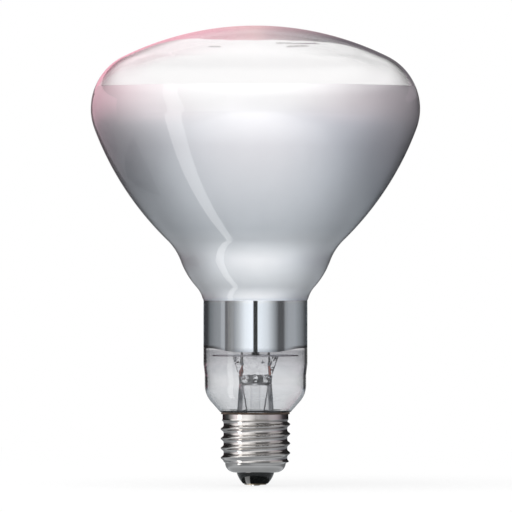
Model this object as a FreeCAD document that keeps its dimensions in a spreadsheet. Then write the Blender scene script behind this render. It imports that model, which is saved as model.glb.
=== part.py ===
import FreeCAD
import Part
import Sketcher
import math
import os

# Infrared heat lamp bulb with an E27 screw cap. Millimetres, +Z up, cap down.
# The origin is the lowest point of the centre contact, on the lamp's axis.

SIZES = {
    # Blown glass envelope
    "bulb_diameter": 125.0,
    "overall_length": 174.4,
    "dome_height": 31.5,
    "rim_radius": 22.0,
    "flank_radius": 115.0,
    "waist_radius": 31.5,
    "waist_height": 91.1,
    "waist_fillet": 21.0,
    "bulge_radius": 30.2,
    "bulge_height": 95.5,
    "neck_diameter": 39.5,
    "neck_fillet": 10.3,
    "lower_neck_diameter": 38.5,
    "neck_step_top": 46.2,
    "neck_step_bottom": 42.0,
    "shoulder_radius": 9.6,
    "shoulder_angle": 41.6,
    "seat_radius": 13.4,
    "glass_wall": 1.0,
    "neck_end_diameter": 22.0,
    "seal_height": 21.0,
    # Reflecting film on the inside of the glass
    "film_thickness": 0.15,
    "film_rise": 8.0,
    "film_bottom": 51.6,
    # Screw cap
    "cap_height": 27.1,
    "cement_line": 0.8,
    "cement_radius": 13.0,
    "cement_depth": 5.0,
    "rim_diameter": 25.0,
    "thread_diameter": 26.4,
    "thread_root_diameter": 24.2,
    "thread_pitch": 3.629,
    "crest_width": 0.9,
    "root_width": 0.9,
    "thread_rings": 5,
    "thread_start": 9.6,
    "thread_top": 23.9,
    "thread_bottom": 9.0,
    "shell_wall": 0.35,
    "shell_base": 5.0,
    "shell_base_radius": 3.6,
    "shell_base_step": 0.6,
    "insulator_opening": 14.2,
    "insulator_foot": 9.4,
    "insulator_bow": 8.7,
    "eyelet_hole": 2.4,
    "contact_diameter": 8.4,
    "contact_thickness": 0.4,
    "solder_height": 0.35,
    "solder_diameter": 4.4,
    "solder_flat_diameter": 3.0,
    "solder_plug": 1.0,
    "side_solder_width": 3.0,
    "side_solder_height": 1.6,
    "side_solder_depth": 1.0,
    # Glass stem
    "stem_top_diameter": 12.5,
    "stem_foot_diameter": 14.6,
    "stem_wall": 0.7,
    "stem_flange": 0.9,
    "stem_shoulder": 38.5,
    "flare_land": 0.2,
    "tube_top": 38.7,
    "tube_bevel": 1.4,
    "press_start": 42.0,
    "press_top": 49.1,
    "press_width_bottom": 12.9,
    "press_width_top": 17.5,
    "press_thickness": 4.2,
    "press_taper": 0.4,
    "exhaust_diameter": 3.6,
    "exhaust_bore": 2.0,
    "exhaust_tip": 14.0,
    "exhaust_seat": 40.2,
    "blow_hole_height": 40.9,
    "blow_hole_diameter": 1.8,
    # Wires, shield and filament
    "lead_spacing": 10.2,
    "lead_diameter": 0.9,
    "seal_diameter": 0.7,
    "outer_lead_diameter": 0.5,
    "seal_bottom": 41.4,
    "seal_top": 45.6,
    "lead_bend": 61.0,
    "lead_low_bend": 4.0,
    "lead_high_bend": 3.0,
    "lead_upright": 5.0,
    "outer_lead_drop": 3.8,
    "outer_lead_gap": 1.3,
    "centre_lead_bend": 1.0,
    "centre_lead_foot": 0.9,
    "side_lead_bend": 0.7,
    "side_lead_drop": 2.5,
    "disc_diameter": 32.6,
    "disc_thickness": 0.4,
    "fit_clearance": 0.1,
    "cut_margin": 1.0,
    "arbor_diameter": 3.0,
    "bead_diameter": 5.2,
    "bead_height": 72.0,
    "ring_diameter": 20.0,
    "filament_height": 90.0,
    "coil_diameter": 1.2,
    "support_diameter": 0.3,
    "support_count": 5,
    "clamp_length": 1.8,
    "clamp_wall": 0.4,
}

doc = FreeCAD.newDocument("heat_lamp")
sheet = doc.addObject("Spreadsheet::Sheet", "sizes")
for row, (alias, value) in enumerate(SIZES.items(), 1):
    sheet.set("A%d" % row, alias)
    sheet.set("B%d" % row, str(value))
    sheet.setAlias("B%d" % row, alias)
doc.recompute()

finished = []


def size(alias):
    return float(sheet.get(alias))


def vec(point):
    return FreeCAD.Vector(point[0], point[1], 0)


def finish(item, label):
    item.Label = label
    finished.append(item)
    return item


def new_body(name):
    return doc.addObject("PartDesign::Body", name)


def new_sketch(body, name, role="XZ_Plane"):
    sketch = body.newObject("Sketcher::SketchObject", name)
    for feature in body.Origin.OriginFeatures:
        if feature.Role == role:
            sketch.AttachmentSupport = [(feature, "")]
    sketch.MapMode = "FlatFace"
    return sketch


class Outline:
    """A chain of lines and arcs in a sketch, joined end to end as it is drawn."""

    def __init__(self, sketch):
        self.sketch = sketch
        self.links = []

    def add(self, curve, start, end, smooth):
        index = self.sketch.addGeometry(curve, False)
        if self.links:
            kind = "Tangent" if smooth else "Coincident"
            last = self.links[-1]
            self.sketch.addConstraint(Sketcher.Constraint(kind, last[0], last[2], index, start))
        self.links.append((index, start, end))
        return len(self.links) - 1

    def line(self, start, end, smooth=False):
        return self.add(Part.LineSegment(vec(start), vec(end)), 1, 2, smooth)

    def arc(self, centre, radius, first, last, smooth=True):
        """An arc travelled from the angle first to the angle last, in degrees."""
        circle = Part.Circle(vec(centre), FreeCAD.Vector(0, 0, 1), radius)
        low, high = min(first, last), max(first, last)
        curve = Part.ArcOfCircle(circle, math.radians(low), math.radians(high))
        if last > first:
            return self.add(curve, 1, 2, smooth)
        return self.add(curve, 2, 1, smooth)

    def close(self):
        first, last = self.links[0], self.links[-1]
        self.sketch.addConstraint(Sketcher.Constraint("Coincident", last[0], last[2], first[0], first[1]))

    def bind(self, constraint, expression):
        index = self.sketch.addConstraint(constraint)
        self.sketch.setExpression("Constraints[%d]" % index, expression)

    def radius(self, link, expression):
        index = self.links[link][0]
        value = self.sketch.Geometry[index].Radius
        self.bind(Sketcher.Constraint("Radius", index, value), expression)

    def spot(self, link, where):
        index, start, end = self.links[link]
        return index, {"start": start, "end": end, "centre": 3}[where]

    def across(self, link, where, expression):
        index, place = self.spot(link, where)
        value = self.sketch.getPoint(index, place).x
        self.bind(Sketcher.Constraint("DistanceX", -1, 1, index, place, value), expression)

    def up(self, link, where, expression):
        index, place = self.spot(link, where)
        value = self.sketch.getPoint(index, place).y
        self.bind(Sketcher.Constraint("DistanceY", -1, 1, index, place, value), expression)

    def point(self, link, where, x_expression, y_expression):
        self.across(link, where, x_expression)
        self.up(link, where, y_expression)

    def on_axis(self, link, where):
        index, place = self.spot(link, where)
        self.sketch.addConstraint(Sketcher.Constraint("PointOnObject", index, place, -2))

    def upright(self, link):
        self.sketch.addConstraint(Sketcher.Constraint("Vertical", self.links[link][0]))

    def level(self, link):
        self.sketch.addConstraint(Sketcher.Constraint("Horizontal", self.links[link][0]))

    def circle(self, centre, diameter):
        """A whole circle that stands alone, with its diameter as an expression."""
        value = size_of(diameter)
        index = self.sketch.addGeometry(Part.Circle(vec(centre), FreeCAD.Vector(0, 0, 1), value / 2), False)
        self.bind(Sketcher.Constraint("Diameter", index, value), diameter)
        return index

    def centre_across(self, index, expression):
        value = self.sketch.getPoint(index, 3).x
        self.bind(Sketcher.Constraint("DistanceX", -1, 1, index, 3, value), expression)

    def centre_up(self, index, expression):
        value = self.sketch.getPoint(index, 3).y
        self.bind(Sketcher.Constraint("DistanceY", -1, 1, index, 3, value), expression)


def spin(body, sketch, name, kind="PartDesign::Revolution"):
    feature = body.newObject(kind, name)
    feature.Profile = sketch
    feature.ReferenceAxis = (sketch, ["V_Axis"])
    feature.Angle = 360.0
    return feature


def polygon(sketch, corners):
    """A closed outline with straight sides, each corner given by its two expressions and its point."""
    chain = Outline(sketch)
    points = [(size_of(x), size_of(z)) for x, z in corners]
    for index, corner in enumerate(corners):
        chain.line(points[index], points[(index + 1) % len(points)])
    chain.close()
    for index, (x, z) in enumerate(corners):
        if abs(points[index][0]) < 1e-9:
            chain.on_axis(index, "start")
        else:
            chain.across(index, "start", x)
        chain.up(index, "start", z)
    return chain


scratch = doc.addObject("Spreadsheet::Sheet", "derived")
derived_rows = {}


def derive(alias, formula):
    """A size worked out from others, kept in a sheet of its own."""
    row = len(derived_rows) + 1
    derived_rows[alias] = row
    scratch.set("A%d" % row, alias)
    scratch.set("B%d" % row, "=" + formula)
    scratch.setAlias("B%d" % row, alias)
    scratch.recompute()


def size_of(expression):
    """The value of an alias written as sizes.name or derived.name."""
    owner, alias = expression.split(".")
    return float((sheet if owner == "sizes" else scratch).get(alias))


# Sizes that follow from the driving ones
for alias, formula in {
    "nothing": "0 * sizes.glass_wall",
    "widest_height": "sizes.overall_length - sizes.dome_height",
    "rim_centre": "sizes.bulb_diameter / 2 - sizes.rim_radius",
    "neck_radius": "sizes.neck_diameter / 2",
    "lower_neck_radius": "sizes.lower_neck_diameter / 2",
    "neck_end_radius": "sizes.neck_end_diameter / 2",
    "glass_seat": "sizes.cap_height + sizes.cement_line",
    "film_top": "derived.widest_height + sizes.film_rise",
    "film_back": "sizes.glass_wall + sizes.fit_clearance",
    "film_face": "derived.film_back + sizes.film_thickness",
    "thread_radius": "sizes.thread_diameter / 2",
    "root_radius": "sizes.thread_root_diameter / 2",
    "thread_depth": "(sizes.thread_diameter - sizes.thread_root_diameter) / 2",
    "cap_rim_radius": "sizes.rim_diameter / 2",
    "cap_rim_bore": "sizes.rim_diameter / 2 - sizes.shell_wall",
    "bore_radius": "sizes.thread_root_diameter / 2 - sizes.shell_wall",
    "opening_radius": "sizes.insulator_opening / 2",
    "foot_radius": "sizes.insulator_foot / 2",
    "eyelet_radius": "sizes.eyelet_hole / 2",
    "contact_radius": "sizes.contact_diameter / 2",
    "contact_top": "sizes.solder_height + sizes.contact_thickness",
    "solder_radius": "sizes.solder_diameter / 2",
    "shell_inside": "sizes.shell_base + sizes.shell_wall",
    "insulator_top": "sizes.shell_base + sizes.shell_base_radius",
    "base_side": "sizes.thread_root_diameter / 2 - sizes.shell_base_step",
    "base_centre": "derived.base_side - sizes.shell_base_radius",
    "base_bore": "derived.base_side - sizes.shell_wall",
    "base_bend": "sizes.shell_base_radius - sizes.shell_wall",
    "thread_fade": "sizes.thread_top + (sizes.thread_diameter - sizes.rim_diameter) / 2",
    "bore_start": "sizes.thread_bottom + sizes.shell_wall",
    "last_root": "sizes.thread_start + (sizes.thread_rings - 1) * sizes.thread_pitch",
    "rim_bore_low": "derived.last_root + sizes.root_width / 2 + sizes.shell_wall / 2",
    "rim_bore_high": "derived.rim_bore_low + derived.cap_rim_bore - derived.bore_radius",
    "above_cap": "sizes.cap_height + sizes.cut_margin",
    "below_base": "sizes.shell_base - sizes.cut_margin",
    "below_seal": "sizes.seal_height - sizes.stem_flange",
    "under_flange": "derived.below_seal - sizes.cut_margin",
    "below_glass": "sizes.seal_height - sizes.cut_margin",
    "solder_top": "derived.contact_top + sizes.solder_plug",
    "solder_flat": "sizes.solder_flat_diameter / 2",
    "stem_top_radius": "sizes.stem_top_diameter / 2",
    "stem_foot_radius": "sizes.stem_foot_diameter / 2",
    "exhaust_radius": "sizes.exhaust_diameter / 2",
    "exhaust_bore_radius": "sizes.exhaust_bore / 2",
    "arbor_radius": "sizes.arbor_diameter / 2",
    "bead_radius": "sizes.bead_diameter / 2",
    "disc_hole": "sizes.arbor_diameter + 2 * sizes.fit_clearance",
    "lead_hole": "sizes.lead_diameter + 2 * sizes.fit_clearance",
    "ring_radius": "sizes.ring_diameter / 2",
    "lead_offset": "sizes.lead_spacing / 2",
    "hook_radius": "(sizes.coil_diameter + sizes.support_diameter) / 2 + sizes.fit_clearance",
    "cement_bottom": "sizes.cap_height - sizes.cement_depth",
    "cement_outer": "sizes.thread_root_diameter / 2 - sizes.shell_wall - sizes.fit_clearance / 2",
}.items():
    derive(alias, formula)


# Glass envelope
# The side wall is a run of arcs, each tangent to the next: dome, rim, flank, waist, bulge and neck fillet.

def meeting_point(first, first_radius, second, second_radius, rightmost):
    """Where two circles cross."""
    dx = second[0] - first[0]
    dz = second[1] - first[1]
    apart = math.hypot(dx, dz)
    along = (first_radius**2 - second_radius**2 + apart**2) / (2 * apart)
    aside = math.sqrt(first_radius**2 - along**2)
    foot = (first[0] + along * dx / apart, first[1] + along * dz / apart)
    options = [
        (foot[0] - aside * dz / apart, foot[1] + aside * dx / apart),
        (foot[0] + aside * dz / apart, foot[1] - aside * dx / apart),
    ]
    return max(options) if rightmost else min(options)


def direction(start, end):
    return math.degrees(math.atan2(end[1] - start[1], end[0] - start[0]))


rim_centre = (size_of("derived.rim_centre"), size_of("derived.widest_height"))
rise = size("dome_height")
dome_radius = (rim_centre[0] ** 2 + rise**2 - size("rim_radius") ** 2) / (2 * (rise - size("rim_radius")))
dome_centre = (0, size("overall_length") - dome_radius)
waist_point = (size("waist_radius"), size("waist_height"))
flank_centre = meeting_point(
    waist_point, size("flank_radius"), rim_centre, size("flank_radius") - size("rim_radius"), False)
bulge_centre = (0, size("bulge_height"))
waist_centre = meeting_point(
    flank_centre, size("flank_radius") + size("waist_fillet"),
    bulge_centre, size("bulge_radius") + size("waist_fillet"), True)
fillet_x = size_of("derived.neck_radius") + size("neck_fillet")
fillet_drop = math.sqrt((size("bulge_radius") + size("neck_fillet")) ** 2 - fillet_x**2)
fillet_centre = (fillet_x, size("bulge_height") - fillet_drop)
dome_edge = direction(dome_centre, rim_centre)
flank_top = direction(flank_centre, rim_centre)
flank_foot = direction(flank_centre, waist_centre)
bulge_top = direction(bulge_centre, waist_centre)
bulge_foot = direction(bulge_centre, fillet_centre)
slope = math.radians(size("shoulder_angle"))
shoulder_x = size_of("derived.lower_neck_radius") - size("shoulder_radius")
seat = (size("seat_radius"), size_of("derived.glass_seat"))
shoulder_z = seat[1] + (size("shoulder_radius") - (seat[0] - shoulder_x) * math.cos(slope)) / math.sin(slope)


def side_wall(chain, rim_start, foot_height, foot_expression, inset, inset_expression):
    """Rim arc down to the neck, set in from the outside of the glass by inset."""
    less = " - " + inset_expression
    more = " + " + inset_expression
    sketch = chain.sketch
    rim = chain.arc(rim_centre, size("rim_radius") - inset, rim_start, flank_top)
    chain.radius(rim, "sizes.rim_radius" + less)
    chain.point(rim, "centre", "derived.rim_centre", "derived.widest_height")
    flank = chain.arc(flank_centre, size("flank_radius") - inset, flank_top, flank_foot)
    chain.radius(flank, "sizes.flank_radius" + less)
    mark = sketch.addGeometry(Part.Point(vec(waist_point)), True)
    chain.bind(Sketcher.Constraint("DistanceX", -1, 1, mark, 1, waist_point[0]), "sizes.waist_radius")
    chain.bind(Sketcher.Constraint("DistanceY", -1, 1, mark, 1, waist_point[1]), "sizes.waist_height")
    far = Sketcher.Constraint("Distance", mark, 1, chain.links[flank][0], 3, size("flank_radius"))
    chain.bind(far, "sizes.flank_radius")
    waist = chain.arc(waist_centre, size("waist_fillet") + inset, flank_foot + 180, bulge_top + 180)
    chain.radius(waist, "sizes.waist_fillet" + more)
    bulge = chain.arc(bulge_centre, size("bulge_radius") - inset, bulge_top, bulge_foot)
    chain.radius(bulge, "sizes.bulge_radius" + less)
    chain.on_axis(bulge, "centre")
    chain.up(bulge, "centre", "sizes.bulge_height")
    fillet = chain.arc(fillet_centre, size("neck_fillet") + inset, bulge_foot + 180, 180)
    chain.radius(fillet, "sizes.neck_fillet" + more)
    x = size_of("derived.neck_radius") - inset
    neck = chain.line((x, fillet_centre[1]), (x, foot_height), smooth=True)
    chain.upright(neck)
    chain.point(neck, "end", "derived.neck_radius" + less, foot_expression)
    return rim, neck


def envelope(sketch, inset, inset_expression, foot_expression):
    """Closed half section of the bulb, set in from the outside of the glass by inset."""
    less = " - " + inset_expression
    chain = Outline(sketch)
    dome = chain.arc(dome_centre, dome_radius - inset, 90, dome_edge)
    chain.on_axis(dome, "centre")
    chain.on_axis(dome, "start")
    chain.up(dome, "start", "sizes.overall_length" + less)
    side_wall(chain, dome_edge, size("neck_step_top"), "sizes.neck_step_top", inset, inset_expression)
    upper = size_of("derived.neck_radius") - inset
    lower = size_of("derived.lower_neck_radius") - inset
    step = chain.line((upper, size("neck_step_top")), (lower, size("neck_step_bottom")))
    chain.point(step, "end", "derived.lower_neck_radius" + less, "sizes.neck_step_bottom")
    throat = chain.line((lower, size("neck_step_bottom")), (lower, shoulder_z))
    chain.upright(throat)
    bend = size("shoulder_radius") - inset
    shoulder = chain.arc((shoulder_x, shoulder_z), bend, 0, -size("shoulder_angle"))
    chain.radius(shoulder, "sizes.shoulder_radius" + less)
    start = (shoulder_x + bend * math.cos(slope), shoulder_z - bend * math.sin(slope))
    end_radius = size_of("derived.neck_end_radius") - inset
    ledge_z = seat[1] + inset
    cone_end = (start[0] - (start[1] - ledge_z) * math.tan(slope), ledge_z)
    cone = chain.line(start, cone_end, smooth=True)
    chain.up(shoulder, "centre", "derived.shoulder_height")
    chain.up(cone, "end", "derived.glass_seat + " + inset_expression)
    ledge = chain.line(cone_end, (end_radius, ledge_z))
    chain.level(ledge)
    chain.across(ledge, "end", "derived.neck_end_radius" + less)
    foot = size_of(foot_expression)
    lean = Sketcher.Constraint("Angle", chain.links[cone][0], 2, -2, 1, slope)
    chain.bind(lean, "sizes.shoulder_angle * 1deg")
    wall = chain.line((end_radius, ledge_z), (end_radius, foot))
    chain.upright(wall)
    chain.up(wall, "end", foot_expression)
    base = chain.line((end_radius, foot), (0, foot))
    chain.level(base)
    axis = chain.line((0, foot), (0, size("overall_length") - inset))
    chain.upright(axis)
    chain.close()


derive(
    "shoulder_height",
    "derived.glass_seat + (sizes.shoulder_radius - (sizes.seat_radius - derived.lower_neck_radius"
    " + sizes.shoulder_radius) * cos(sizes.shoulder_angle * 1deg)) / sin(sizes.shoulder_angle * 1deg)")

glass = new_body("blown_glass")
outside = new_sketch(glass, "bulb_outside")
envelope(outside, 0, "derived.nothing", "sizes.seal_height")
spin(glass, outside, "bulb_blown")
inside = new_sketch(glass, "bulb_inside")
envelope(inside, size("glass_wall"), "sizes.glass_wall", "derived.below_glass")
spin(glass, inside, "bulb_hollow", "PartDesign::Groove")


# The glass is one blown piece. It is kept as three rings, parted where the side wall curves inwards,
# because each of them is then close to its own convex hull.
def glass_ring(label, bottom, top):
    layer = doc.addObject("Part::Cylinder", label + "_layer")
    layer.setExpression("Radius", "sizes.bulb_diameter")
    layer.Height = top - bottom
    layer.Placement.Base.z = bottom
    ring = doc.addObject("Part::Common", label)
    ring.Base = glass
    ring.Tool = layer
    return finish(ring, label)


waist_turn = math.radians((flank_foot + bulge_top) / 2)
waist_cut = waist_centre[1] - size("waist_fillet") * math.sin(waist_turn)
neck_turn = math.radians(bulge_foot / 2)
neck_cut = fillet_centre[1] - size("neck_fillet") * math.sin(neck_turn)
glass_ring("glass_bowl", waist_cut, size("overall_length") + size("cut_margin"))
glass_ring("glass_throat", neck_cut, waist_cut)
glass_ring("glass_neck", size("seal_height") - size("cut_margin"), neck_cut)


# Reflecting film on the inside of the bowl and the upper neck
film = new_body("mirror_coating")
film_sketch = new_sketch(film, "film_section")


def film_side(inset, inset_expression):
    chain = Outline(film_sketch)
    lift = (size_of("derived.film_top") - size_of("derived.widest_height")) / (size("rim_radius") - inset)
    first = math.degrees(math.asin(lift))
    rim, neck = side_wall(chain, first, size("film_bottom"), "sizes.film_bottom", inset, inset_expression)
    chain.up(rim, "start", "derived.film_top")
    return chain, rim, neck


film_back, back_rim, back_neck = film_side(size_of("derived.film_back"), "derived.film_back")
film_face, face_rim, face_neck = film_side(size_of("derived.film_face"), "derived.film_face")
for back, face, where in ((back_rim, face_rim, "start"), (back_neck, face_neck, "end")):
    ends = (film_back.spot(back, where), film_face.spot(face, where))
    points = [film_sketch.getPoint(*end) for end in ends]
    edge = film_sketch.addGeometry(Part.LineSegment(*points), False)
    for place, end in enumerate(ends, 1):
        film_sketch.addConstraint(Sketcher.Constraint("Coincident", edge, place, *end))
spin(film, film_sketch, "film_coat")
finish(film, "mirror_coating")


# Screw cap
def bowed_side(chain, start, end, radius, expression):
    """An arc from start to end that bows away from the axis."""
    centre = meeting_point(start, radius, end, radius, False)
    link = chain.arc(centre, radius, direction(centre, start), direction(centre, end), smooth=False)
    chain.radius(link, expression)
    return link


shell = new_body("cap_shell")
base_centre = (size_of("derived.base_centre"), size_of("derived.insulator_top"))
shell_outside = new_sketch(shell, "shell_outside")
chain = Outline(shell_outside)
start = chain.line((0, size("shell_base")), (base_centre[0], size("shell_base")))
chain.level(start)
chain.on_axis(start, "start")
base = chain.arc(base_centre, size("shell_base_radius"), -90, 0)
chain.point(base, "centre", "derived.base_centre", "derived.insulator_top")
chain.radius(base, "sizes.shell_base_radius")
chain.up(base, "end", "derived.insulator_top")
lower = ("derived.base_side", "derived.insulator_top")
corners = [
    ("derived.thread_radius", "sizes.thread_bottom"),
    ("derived.thread_radius", "sizes.thread_top"),
    ("derived.cap_rim_radius", "derived.thread_fade"),
    ("derived.cap_rim_radius", "sizes.cap_height"),
]
last = (size_of(lower[0]), size_of(lower[1]))
for x, z in corners:
    link = chain.line(last, (size_of(x), size_of(z)))
    chain.point(link, "end", x, z)
    last = (size_of(x), size_of(z))
top = chain.line(last, (0, last[1]))
chain.level(top)
chain.on_axis(top, "end")
chain.line((0, last[1]), (0, size("shell_base")))
chain.close()
spin(shell, shell_outside, "shell_blank")

shell_inside = new_sketch(shell, "shell_inside")
chain = Outline(shell_inside)
floor = size_of("derived.below_base")
last = (0, floor)
for x, z in (
    ("derived.opening_radius", "derived.below_base"),
    ("derived.opening_radius", "derived.shell_inside"),
):
    link = chain.line(last, (size_of(x), size_of(z)))
    chain.point(link, "end", x, z)
    last = (size_of(x), size_of(z))
chain.on_axis(0, "start")
chain.level(0)
ledge = chain.line(last, (base_centre[0], last[1]))
chain.level(ledge)
bend = chain.arc(base_centre, size_of("derived.base_bend"), -90, 0)
chain.point(bend, "centre", "derived.base_centre", "derived.insulator_top")
chain.up(bend, "end", "derived.insulator_top")
last = (size_of("derived.base_bore"), base_centre[1])
for x, z in (
    ("derived.bore_radius", "derived.bore_start"),
    ("derived.bore_radius", "derived.rim_bore_low"),
    ("derived.cap_rim_bore", "derived.rim_bore_high"),
    ("derived.cap_rim_bore", "derived.above_cap"),
):
    link = chain.line(last, (size_of(x), size_of(z)))
    chain.point(link, "end", x, z)
    last = (size_of(x), size_of(z))
top = chain.line(last, (0, last[1]))
chain.level(top)
chain.on_axis(top, "end")
chain.line((0, last[1]), (0, floor))
chain.close()
spin(shell, shell_inside, "shell_bore", "PartDesign::Groove")

# Rolled thread, as rings at its pitch: a hollow under each crest keeps the sheet thin
derive("flank_height", "(sizes.thread_pitch - sizes.crest_width - sizes.root_width) / 2")
derive("groove_reach", "derived.thread_radius + derived.thread_depth / 4")
derive("groove_half", "sizes.root_width / 2 + 1.25 * derived.flank_height")
derive("groove_low_out", "sizes.thread_start - derived.groove_half")
derive("groove_high_out", "sizes.thread_start + derived.groove_half")
derive("groove_low_in", "sizes.thread_start - sizes.root_width / 2")
derive("groove_high_in", "sizes.thread_start + sizes.root_width / 2")
derive("crest_start", "sizes.thread_start + sizes.thread_pitch / 2")
derive("hollow_tip", "derived.thread_radius - sizes.shell_wall")
derive("hollow_base", "derived.bore_radius - derived.thread_depth / 4")
derive("hollow_half", "sizes.crest_width / 2 + 1.25 * derived.flank_height - sizes.shell_wall / 2")
derive("hollow_low_out", "derived.crest_start - derived.hollow_half")
derive("hollow_high_out", "derived.crest_start + derived.hollow_half")
derive("hollow_low_in", "derived.crest_start - sizes.crest_width / 2 + sizes.shell_wall / 2")
derive("hollow_high_in", "derived.crest_start + sizes.crest_width / 2 - sizes.shell_wall / 2")


def rolled_rings(sketch, name, count, count_expression):
    """One groove round the cap, repeated up the axis at the thread's pitch."""
    cut = spin(shell, sketch, name, "PartDesign::Groove")
    rings = shell.newObject("PartDesign::LinearPattern", name + "_rings")
    rings.Originals = [cut]
    rings.Direction = (sketch, ["V_Axis"])
    rings.Occurrences = count
    rings.setExpression("Occurrences", count_expression)
    rings.setExpression("Length", "(%s - 1) * sizes.thread_pitch" % count_expression)
    shell.Tip = rings


groove_sketch = new_sketch(shell, "thread_groove")
polygon(groove_sketch, [
    ("derived.root_radius", "derived.groove_low_in"),
    ("derived.groove_reach", "derived.groove_low_out"),
    ("derived.groove_reach", "derived.groove_high_out"),
    ("derived.root_radius", "derived.groove_high_in"),
])
rolled_rings(groove_sketch, "thread_roots", int(size("thread_rings")), "sizes.thread_rings")
hollow_sketch = new_sketch(shell, "crest_hollow")
polygon(hollow_sketch, [
    ("derived.hollow_base", "derived.hollow_low_out"),
    ("derived.hollow_tip", "derived.hollow_low_in"),
    ("derived.hollow_tip", "derived.hollow_high_in"),
    ("derived.hollow_base", "derived.hollow_high_out"),
])
rolled_rings(hollow_sketch, "crest_hollows", int(size("thread_rings")) - 1, "(sizes.thread_rings - 1)")
finish(shell, "cap_shell")

insulator = new_body("cap_insulator")
insulator_sketch = new_sketch(insulator, "insulator_section")
chain = Outline(insulator_sketch)
foot = (size_of("derived.foot_radius"), size_of("derived.contact_top"))
opening = (size_of("derived.opening_radius"), size("shell_base"))
eyelet = size_of("derived.eyelet_radius")
link = chain.line((eyelet, foot[1]), foot)
chain.point(link, "start", "derived.eyelet_radius", "derived.contact_top")
chain.point(link, "end", "derived.foot_radius", "derived.contact_top")
link = bowed_side(chain, foot, opening, size("insulator_bow"), "sizes.insulator_bow")
chain.point(link, "end", "derived.opening_radius", "sizes.shell_base")
link = chain.line(opening, (opening[0], size_of("derived.shell_inside")))
chain.upright(link)
chain.up(link, "end", "derived.shell_inside")
inner_floor = size_of("derived.shell_inside")
link = chain.line((opening[0], inner_floor), (base_centre[0], inner_floor))
chain.level(link)
bend = chain.arc(base_centre, size_of("derived.base_bend"), -90, 0)
chain.point(bend, "centre", "derived.base_centre", "derived.insulator_top")
chain.up(bend, "end", "derived.insulator_top")
link = chain.line((size_of("derived.base_bore"), base_centre[1]), (eyelet, base_centre[1]))
chain.level(link)
chain.across(link, "end", "derived.eyelet_radius")
chain.line((eyelet, base_centre[1]), (eyelet, foot[1]))
chain.close()
spin(insulator, insulator_sketch, "insulator_moulded")
finish(insulator, "cap_insulator")

plate = new_body("contact_plate")
plate_sketch = new_sketch(plate, "plate_section")
polygon(plate_sketch, [
    ("derived.eyelet_radius", "sizes.solder_height"),
    ("derived.contact_radius", "sizes.solder_height"),
    ("derived.contact_radius", "derived.contact_top"),
    ("derived.eyelet_radius", "derived.contact_top"),
])
spin(plate, plate_sketch, "plate_stamped")
finish(plate, "contact_plate")


# Glass stem: a flared tube, closed at the top by a flat press
stem = new_body("stem_glass")
tube_sketch = new_sketch(stem, "tube_outside")
derive("flare_centre", "derived.neck_end_radius - sizes.glass_wall - sizes.flare_land")
derive("flare_bend", "derived.flare_centre - derived.stem_foot_radius")
derive("flare_height", "sizes.seal_height + derived.flare_bend")
derive("flare_inner_bend", "derived.flare_bend + sizes.stem_flange")
derive("tube_inner_foot", "derived.flare_centre - derived.flare_inner_bend")
derive("tube_inner_top", "derived.stem_top_radius - sizes.stem_wall")
derive("tube_bevel_low", "sizes.tube_top - sizes.tube_bevel")
derive("tube_bevel_inner", "derived.tube_inner_top - sizes.tube_bevel")
derive("blow_top", "sizes.blow_hole_height + sizes.blow_hole_diameter / 2 + 2 * sizes.fit_clearance")
flare = (size_of("derived.flare_centre"), size_of("derived.flare_height"))
chain = Outline(tube_sketch)
tube_head = (size_of("derived.stem_top_radius"), size("stem_shoulder"))
link = chain.line((0, tube_head[1]), tube_head)
chain.on_axis(link, "start")
chain.level(link)
chain.point(link, "end", "derived.stem_top_radius", "sizes.stem_shoulder")
chain.line(tube_head, (size_of("derived.stem_foot_radius"), flare[1]))
bend = chain.arc(flare, size_of("derived.flare_bend"), 180, 270, smooth=False)
chain.point(bend, "centre", "derived.flare_centre", "derived.flare_height")
chain.up(bend, "start", "derived.flare_height")
chain.radius(bend, "derived.flare_bend")
flange = size_of("derived.neck_end_radius")
link = chain.line((flare[0], size("seal_height")), (flange, size("seal_height")), smooth=True)
chain.across(link, "end", "derived.neck_end_radius")
low = size_of("derived.below_seal")
link = chain.line((flange, size("seal_height")), (flange, low))
chain.upright(link)
chain.up(link, "end", "derived.below_seal")
link = chain.line((flange, low), (0, low))
chain.level(link)
chain.on_axis(link, "end")
chain.line((0, low), (0, size("stem_shoulder")))
chain.close()
spin(stem, tube_sketch, "tube_drawn")


def press_section(name, height, width, thickness):
    """Slot with round ends, level, at a height."""
    sketch = new_sketch(stem, name, "XY_Plane")
    sketch.setExpression("AttachmentOffset.Base.z", height)
    end = size_of(thickness) / 2
    reach = size_of(width) / 2 - end
    chain = Outline(sketch)
    top = chain.line((reach, end), (-reach, end))
    left = chain.arc((-reach, 0), end, 90, 270)
    chain.line((-reach, -end), (reach, -end), smooth=True)
    right = chain.arc((reach, 0), end, -90, 90)
    first, last = chain.links[0], chain.links[-1]
    sketch.addConstraint(Sketcher.Constraint("Tangent", last[0], last[2], first[0], first[1]))
    chain.level(top)
    index, place = chain.spot(right, "centre")
    sketch.addConstraint(Sketcher.Constraint("PointOnObject", index, place, -1))
    ends = (chain.spot(left, "centre"), chain.spot(right, "centre"))
    sketch.addConstraint(Sketcher.Constraint("Symmetric", *ends[0], *ends[1], -1, 1))
    chain.radius(right, thickness + " / 2")
    chain.across(right, "centre", width + " / 2 - " + thickness + " / 2")
    return sketch


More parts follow.
